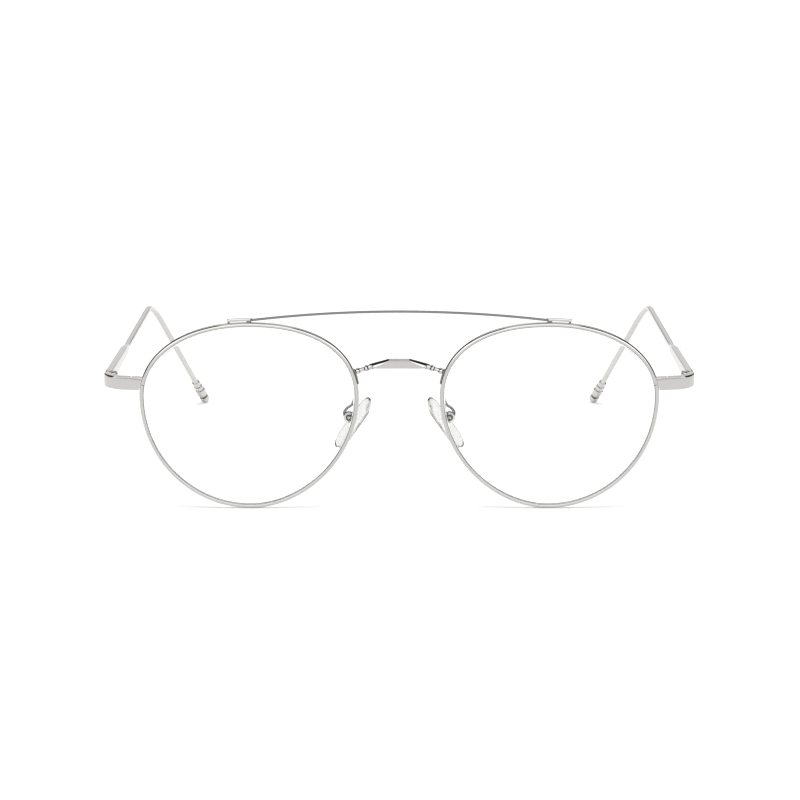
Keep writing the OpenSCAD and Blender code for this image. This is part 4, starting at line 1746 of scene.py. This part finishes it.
@dataclass
class NosePad(Assembly):
    """A clear drop-shaped pad with a crowned face and a lug that rocks on the screw."""

    length: float = 14.0
    width: float = 6.7
    narrow: float = 0.9
    lean: float = 36.0
    splay: float = 20.0
    back: float = 1.72
    drop: float = 0.65
    crown: float = 1.3
    crown_r: float = 20.0
    lug_r: float = 0.8
    lug_t: float = 0.76
    lug_edge: float = 0.06
    web_in: float = 0.4
    bore_r: float = 0.38
    bore_reach: float = 2.0
    band_in: float = 0.3
    band_from: float = 0.1
    band_fit: float = 0.02
    edge: float = 0.1
    shares: tuple[float, ...] = (1, 0.94, 0.86, 0.74, 0.58, 0.4, 0.2, 0.05)
    points: int = 96

    def outline(self, degrees: float) -> Vector:
        """Returns a point of the pad's outline as Y and Z, at an angle round it.

        Args:
            degrees: Angle round the pad, with 90 up.

        Returns:
            The point.
        """
        end_r = self.width / 2
        top_r = end_r * self.narrow
        low, high = end_r - self.length / 2, self.length / 2 - top_r
        a = math.radians(degrees)
        y, z = math.cos(a), math.sin(a)
        radius, centre = (top_r, high) if z >= 0 else (end_r, low)
        return Vector((radius * y, centre + radius * z))

    def face(self, spot: Vector) -> float:
        """Returns the height of the crowned face over the pad's back at a place."""
        fall = self.crown_r - math.sqrt(self.crown_r**2 - spot.length_squared)
        return self.crown - fall

    def rim(self) -> list[Vector]:
        """Returns the points of the pad's outline."""
        return [self.outline(i * 360 / self.points) for i in range(self.points)]

    def band(self) -> BMesh:
        """Returns the band round the pad's edge, where the two halves of the mould meet.

        Returns:
            The band.
        """
        rings = []
        for p in [*self.rim(), self.outline(0)]:
            high = self.face(p) - self.band_from
            q = p - (self.band_in - self.band_fit) * p.normalized()
            rings.append([
                Vector((self.band_from, q.x, q.y)), Vector((self.band_from, p.x, p.y)),
                Vector((high, p.x, p.y)), Vector((high, q.x, q.y)),
            ])
        return facing_out(swept(rings, capped=False))

    def body(self) -> BMesh:
        """Returns the pad, with its back on the YZ plane and its crown towards +X.

        Returns:
            The pad.
        """
        rim = [p - self.band_in * p.normalized() for p in self.rim()]
        rings = [[Vector((0, p.x, p.y)) for p in rim]]
        for share in self.shares:
            spots = [p * share for p in rim]
            rings.append([Vector((self.face(q), q.x, q.y)) for q in spots])
        return soften(swept(rings), self.edge, 3, 40)

    def build(self, side: Side) -> None:
        """Models the pad and its lug as one moulding.

        Args:
            side: Side that it is on.
        """
        at = self.layout
        hang = moved(*at.pad_box) @ turned_about("Y", self.lean)
        place = hang @ turned_about("Z", self.splay) @ moved(self.back, 0, -self.drop)
        pad = put(self.body(), place)
        half, e = self.lug_t / 2, self.lug_edge
        eye = lathe([
            (-half, 0), (-half, self.lug_r - e), (-half + e, self.lug_r),
            (half - e, self.lug_r), (half, self.lug_r - e), (half, 0),
        ])
        web = block((0, -half, -self.lug_r), (self.back + self.web_in, half, self.lug_r))
        lug = combined(put(eye, at.pad_axis), put(web, hang), Cut.JOIN)
        mesh = combined(pad, lug, Cut.JOIN)
        bore = rod(-self.bore_reach, self.bore_reach, self.bore_r, 24)
        mesh = combined(mesh, put(bore, at.pad_axis), Cut.AWAY)
        name = side.node("silicone_pad")
        node = [side.node("nose_pad")]
        band = put(self.band(), place)
        for piece in (
            self.finish(mesh, name, side, Body.PAD, node, SILICONE, smooth=35),
            self.finish(band, side.node("pad_edge"), side, Body.PAD, node, PARTING, smooth=35),
        ):
            piece.visible_shadow = False
            piece.visible_diffuse = False


@dataclass(frozen=True)
class Panel:
    """A soft-edged area of the set, by the directions in which it lies.

    Around is 1 straight behind the frame and -1 straight in front, upward is 1 overhead, and
    beside is the share to either side.
    """

    strength: float
    around: tuple[float, float]
    upward: tuple[float, float]
    soft: float
    beside: tuple[float, float] = (-1.0, 2.0)


@dataclass
class Studio:
    """Pale floor, soft light and the camera of the photograph."""

    focal: float = 104.73
    sensor: float = 36.0
    eye: tuple[float, float, float] = (0.0, -0.59786, 0.13004)
    target: tuple[float, float, float] = (0.0, -0.06778, 0.0270)
    shift: tuple[float, float] = (0.000875, 0.00125)
    floor_size: float = 80.0
    floor_lift: float = 0.2
    mirror_lift: float = 0.1
    sky_share: float = 0.5
    sun_share: float = 0.5
    sun_width: float = 34.0
    sun_lean: float = 20.0
    wall: float = 1.0
    softbox: float = 2.0
    ceiling: float = 0.95
    gap: float = 0.78
    back_wall: float = 0.8
    flag: float = 0.03
    seen_flag: float = 0.6

    def camera(self) -> None:
        """Places the camera at the photograph's viewing angle."""
        data = bpy.data.cameras.new("view")
        data.lens, data.sensor_width = self.focal, self.sensor
        data.shift_x, data.shift_y = self.shift
        data.clip_start, data.clip_end = 0.01, 100
        eye = linked("view", data)
        eye.location = self.eye
        aim = Vector(self.target) - Vector(self.eye)
        eye.rotation_mode = "QUATERNION"
        eye.rotation_quaternion = aim.to_track_quat("-Z", "Y")
        bpy.context.scene.camera = eye

    def floor(self) -> None:
        """Lays a plain white paper floor."""
        mesh = bmesh.new()
        bmesh.ops.create_grid(mesh, x_segments=1, y_segments=1, size=self.floor_size / 2)
        data = bpy.data.meshes.new("paper_floor")
        mesh.to_mesh(data)
        mesh.free()
        paper = linked("paper_floor", data)
        material, tree = fresh_material("white_paper")
        paint = add_node(
            tree, "ShaderNodeBsdfPrincipled",
            {"Base Color": linear("#FDFDFD"), "Roughness": 0.9, "Specular IOR Level": 0.0},
        )
        path = add_node(tree, "ShaderNodeLightPath")
        seen = add_node(
            tree, "ShaderNodeMath",
            {0: path.outputs["Is Camera Ray"], 1: path.outputs["Is Transmission Ray"]},
            operation="MAXIMUM",
        )
        lifted = add_node(
            tree, "ShaderNodeMath", {0: seen.outputs[0], 1: self.floor_lift}, operation="MULTIPLY",
        )
        power = add_node(
            tree, "ShaderNodeMath",
            {0: path.outputs["Is Glossy Ray"], 1: self.mirror_lift, 2: lifted.outputs[0]},
            operation="MULTIPLY_ADD",
        )
        glow = add_node(tree, "ShaderNodeEmission", {"Strength": power.outputs[0]})
        both = add_node(tree, "ShaderNodeAddShader", {0: paint.outputs[0], 1: glow.outputs[0]})
        add_node(tree, "ShaderNodeOutputMaterial", {"Surface": both.outputs[0]})
        data.materials.append(material)

    def sun(self) -> None:
        """Hangs a wide soft light overhead, in line with the lean of the front."""
        data = bpy.data.lights.new("overhead_diffuser", "SUN")
        data.energy = self.sun_share * math.pi
        data.angle = math.radians(self.sun_width)
        lamp = linked("overhead_diffuser", data)
        lamp.rotation_euler = (math.radians(self.sun_lean), 0, 0)
        lamp.visible_glossy = False
        lamp.visible_transmission = False

    @staticmethod
    def window(
        tree: bpy.types.NodeTree, value: bpy.types.NodeSocket, span: tuple[float, float], soft: float,
    ) -> bpy.types.NodeSocket:
        """Returns a soft mask that is 1 where a value lies in a span.

        Args:
            tree: The node tree.
            value: Socket of the value.
            span: Lowest and highest value of the window.
            soft: Width of the fade at each side.

        Returns:
            Socket of the mask.
        """
        rise = add_node(
            tree, "ShaderNodeMapRange",
            {"Value": value, "From Min": span[0] - soft, "From Max": span[0] + soft},
            interpolation_type="SMOOTHSTEP",
        )
        fall = add_node(
            tree, "ShaderNodeMapRange",
            {"Value": value, "From Min": span[1] - soft, "From Max": span[1] + soft,
             "To Min": 1.0, "To Max": 0.0},
            interpolation_type="SMOOTHSTEP",
        )
        both = add_node(
            tree, "ShaderNodeMath", {0: rise.outputs[0], 1: fall.outputs[0]}, operation="MULTIPLY",
        )
        return both.outputs[0]

    def panels(self) -> list[Panel]:
        """Returns the areas of the set, each laid over the ones before it."""
        front, forward, overhead = (-1.2, -0.3), (-1.2, 0.1), (0.62, 1.2)
        return [
            Panel(self.ceiling, (-1.2, 1.2), (0.7, 1.2), 0.04),
            # Gap between the floor and the softbox in front.
            Panel(self.gap, front, (-0.01, 0.09), 0.01),
            Panel(self.back_wall, (0.9, 1.2), (0.02, 0.55), 0.02),
            Panel(self.softbox, front, (0.09, 0.56), 0.02),
            # Gap over the softbox, with a dark flag at each end of it.
            Panel(self.gap, forward, overhead, 0.03),
            Panel(self.flag, forward, overhead, 0.04, beside=(0.31, 2.0)),
            # Dark flags at both sides, from beside the frame round to the back wall.
            Panel(self.flag, (-0.2, 0.975), (0.01, 0.72), 0.012),
        ]

    def world(self) -> None:
        """Surrounds the set with white walls, softboxes in front, and dark flags.

        Polished metal and clear pads show these. Everything else gets an even white sky.
        """
        world = bpy.data.worlds.new("white_cove")
        bpy.context.scene.world = world
        world.use_nodes = True
        tree = world.node_tree
        tree.nodes.clear()
        way = add_node(tree, "ShaderNodeTexCoord").outputs["Generated"]
        parts = add_node(tree, "ShaderNodeSeparateXYZ", {0: way})
        heading = add_node(
            tree, "ShaderNodeCombineXYZ", {0: parts.outputs["X"], 1: parts.outputs["Y"], 2: 0.0},
        )
        flat = add_node(tree, "ShaderNodeVectorMath", {0: heading.outputs[0]}, operation="NORMALIZE")
        back = add_node(tree, "ShaderNodeSeparateXYZ", {0: flat.outputs[0]}).outputs["Y"]
        high = parts.outputs["Z"]
        aside = add_node(
            tree, "ShaderNodeMath", {0: parts.outputs["X"]}, operation="ABSOLUTE",
        ).outputs[0]
        glow: bpy.types.NodeSocket | float = self.wall
        for panel in self.panels():
            facing = add_node(
                tree, "ShaderNodeMath",
                {0: self.window(tree, back, panel.around, panel.soft),
                 1: self.window(tree, high, panel.upward, panel.soft)},
                operation="MULTIPLY",
            )
            mask = add_node(
                tree, "ShaderNodeMath",
                {0: facing.outputs[0], 1: self.window(tree, aside, panel.beside, panel.soft)},
                operation="MULTIPLY",
            )
            glow = add_node(
                tree, "ShaderNodeMix", {0: mask.outputs[0], 2: glow, 3: panel.strength},
                data_type="FLOAT",
            ).outputs[0]
        path = add_node(tree, "ShaderNodeLightPath")
        shown = add_node(
            tree, "ShaderNodeMath",
            {0: path.outputs["Is Glossy Ray"], 1: path.outputs["Is Transmission Ray"]},
            operation="MAXIMUM",
        )
        paler = add_node(
            tree, "ShaderNodeMapRange",
            {"Value": glow, "From Min": 0.0, "From Max": 1.0, "To Min": self.seen_flag, "To Max": 1.0},
        )
        through = add_node(
            tree, "ShaderNodeMix",
            {0: path.outputs["Is Transmission Ray"], 2: glow, 3: paler.outputs[0]}, data_type="FLOAT",
        )
        mirrored = add_node(
            tree, "ShaderNodeMix",
            {0: shown.outputs[0], 2: self.sky_share, 3: through.outputs[0]}, data_type="FLOAT",
        )
        power = add_node(
            tree, "ShaderNodeMix",
            {0: path.outputs["Is Camera Ray"], 2: mirrored.outputs[0], 3: 1.0}, data_type="FLOAT",
        )
        shader = add_node(
            tree, "ShaderNodeBackground", {"Color": (1, 1, 1, 1), "Strength": power.outputs[0]},
        )
        add_node(tree, "ShaderNodeOutputWorld", {"Surface": shader.outputs[0]})

    def build(self) -> None:
        """Sets up floor, light and camera."""
        bpy.context.scene.view_settings.view_transform = "Standard"
        self.world()
        self.floor()
        self.sun()
        self.camera()


def main() -> None:
    """Builds every sub-assembly, the studio and the camera, in order."""
    logging.basicConfig(level=logging.INFO, format="%(name)s: %(message)s")
    layout = Layout()
    Studio().build()
    BrowBar(layout).build()
    Bridge(layout).build()
    for side in Side:
        Eyewire(layout).build(side)
        Lens(layout).build(side)
        EndPiece(layout).build(side)
        ClosingBlocks(layout).build(side)
        Hinge(layout).build(side)
        Temple(layout).build(side)
        TipKnob(layout).build(side)
        PadArm(layout).build(side)
        NosePad(layout).build(side)


if __name__ == "__main__":
    main()
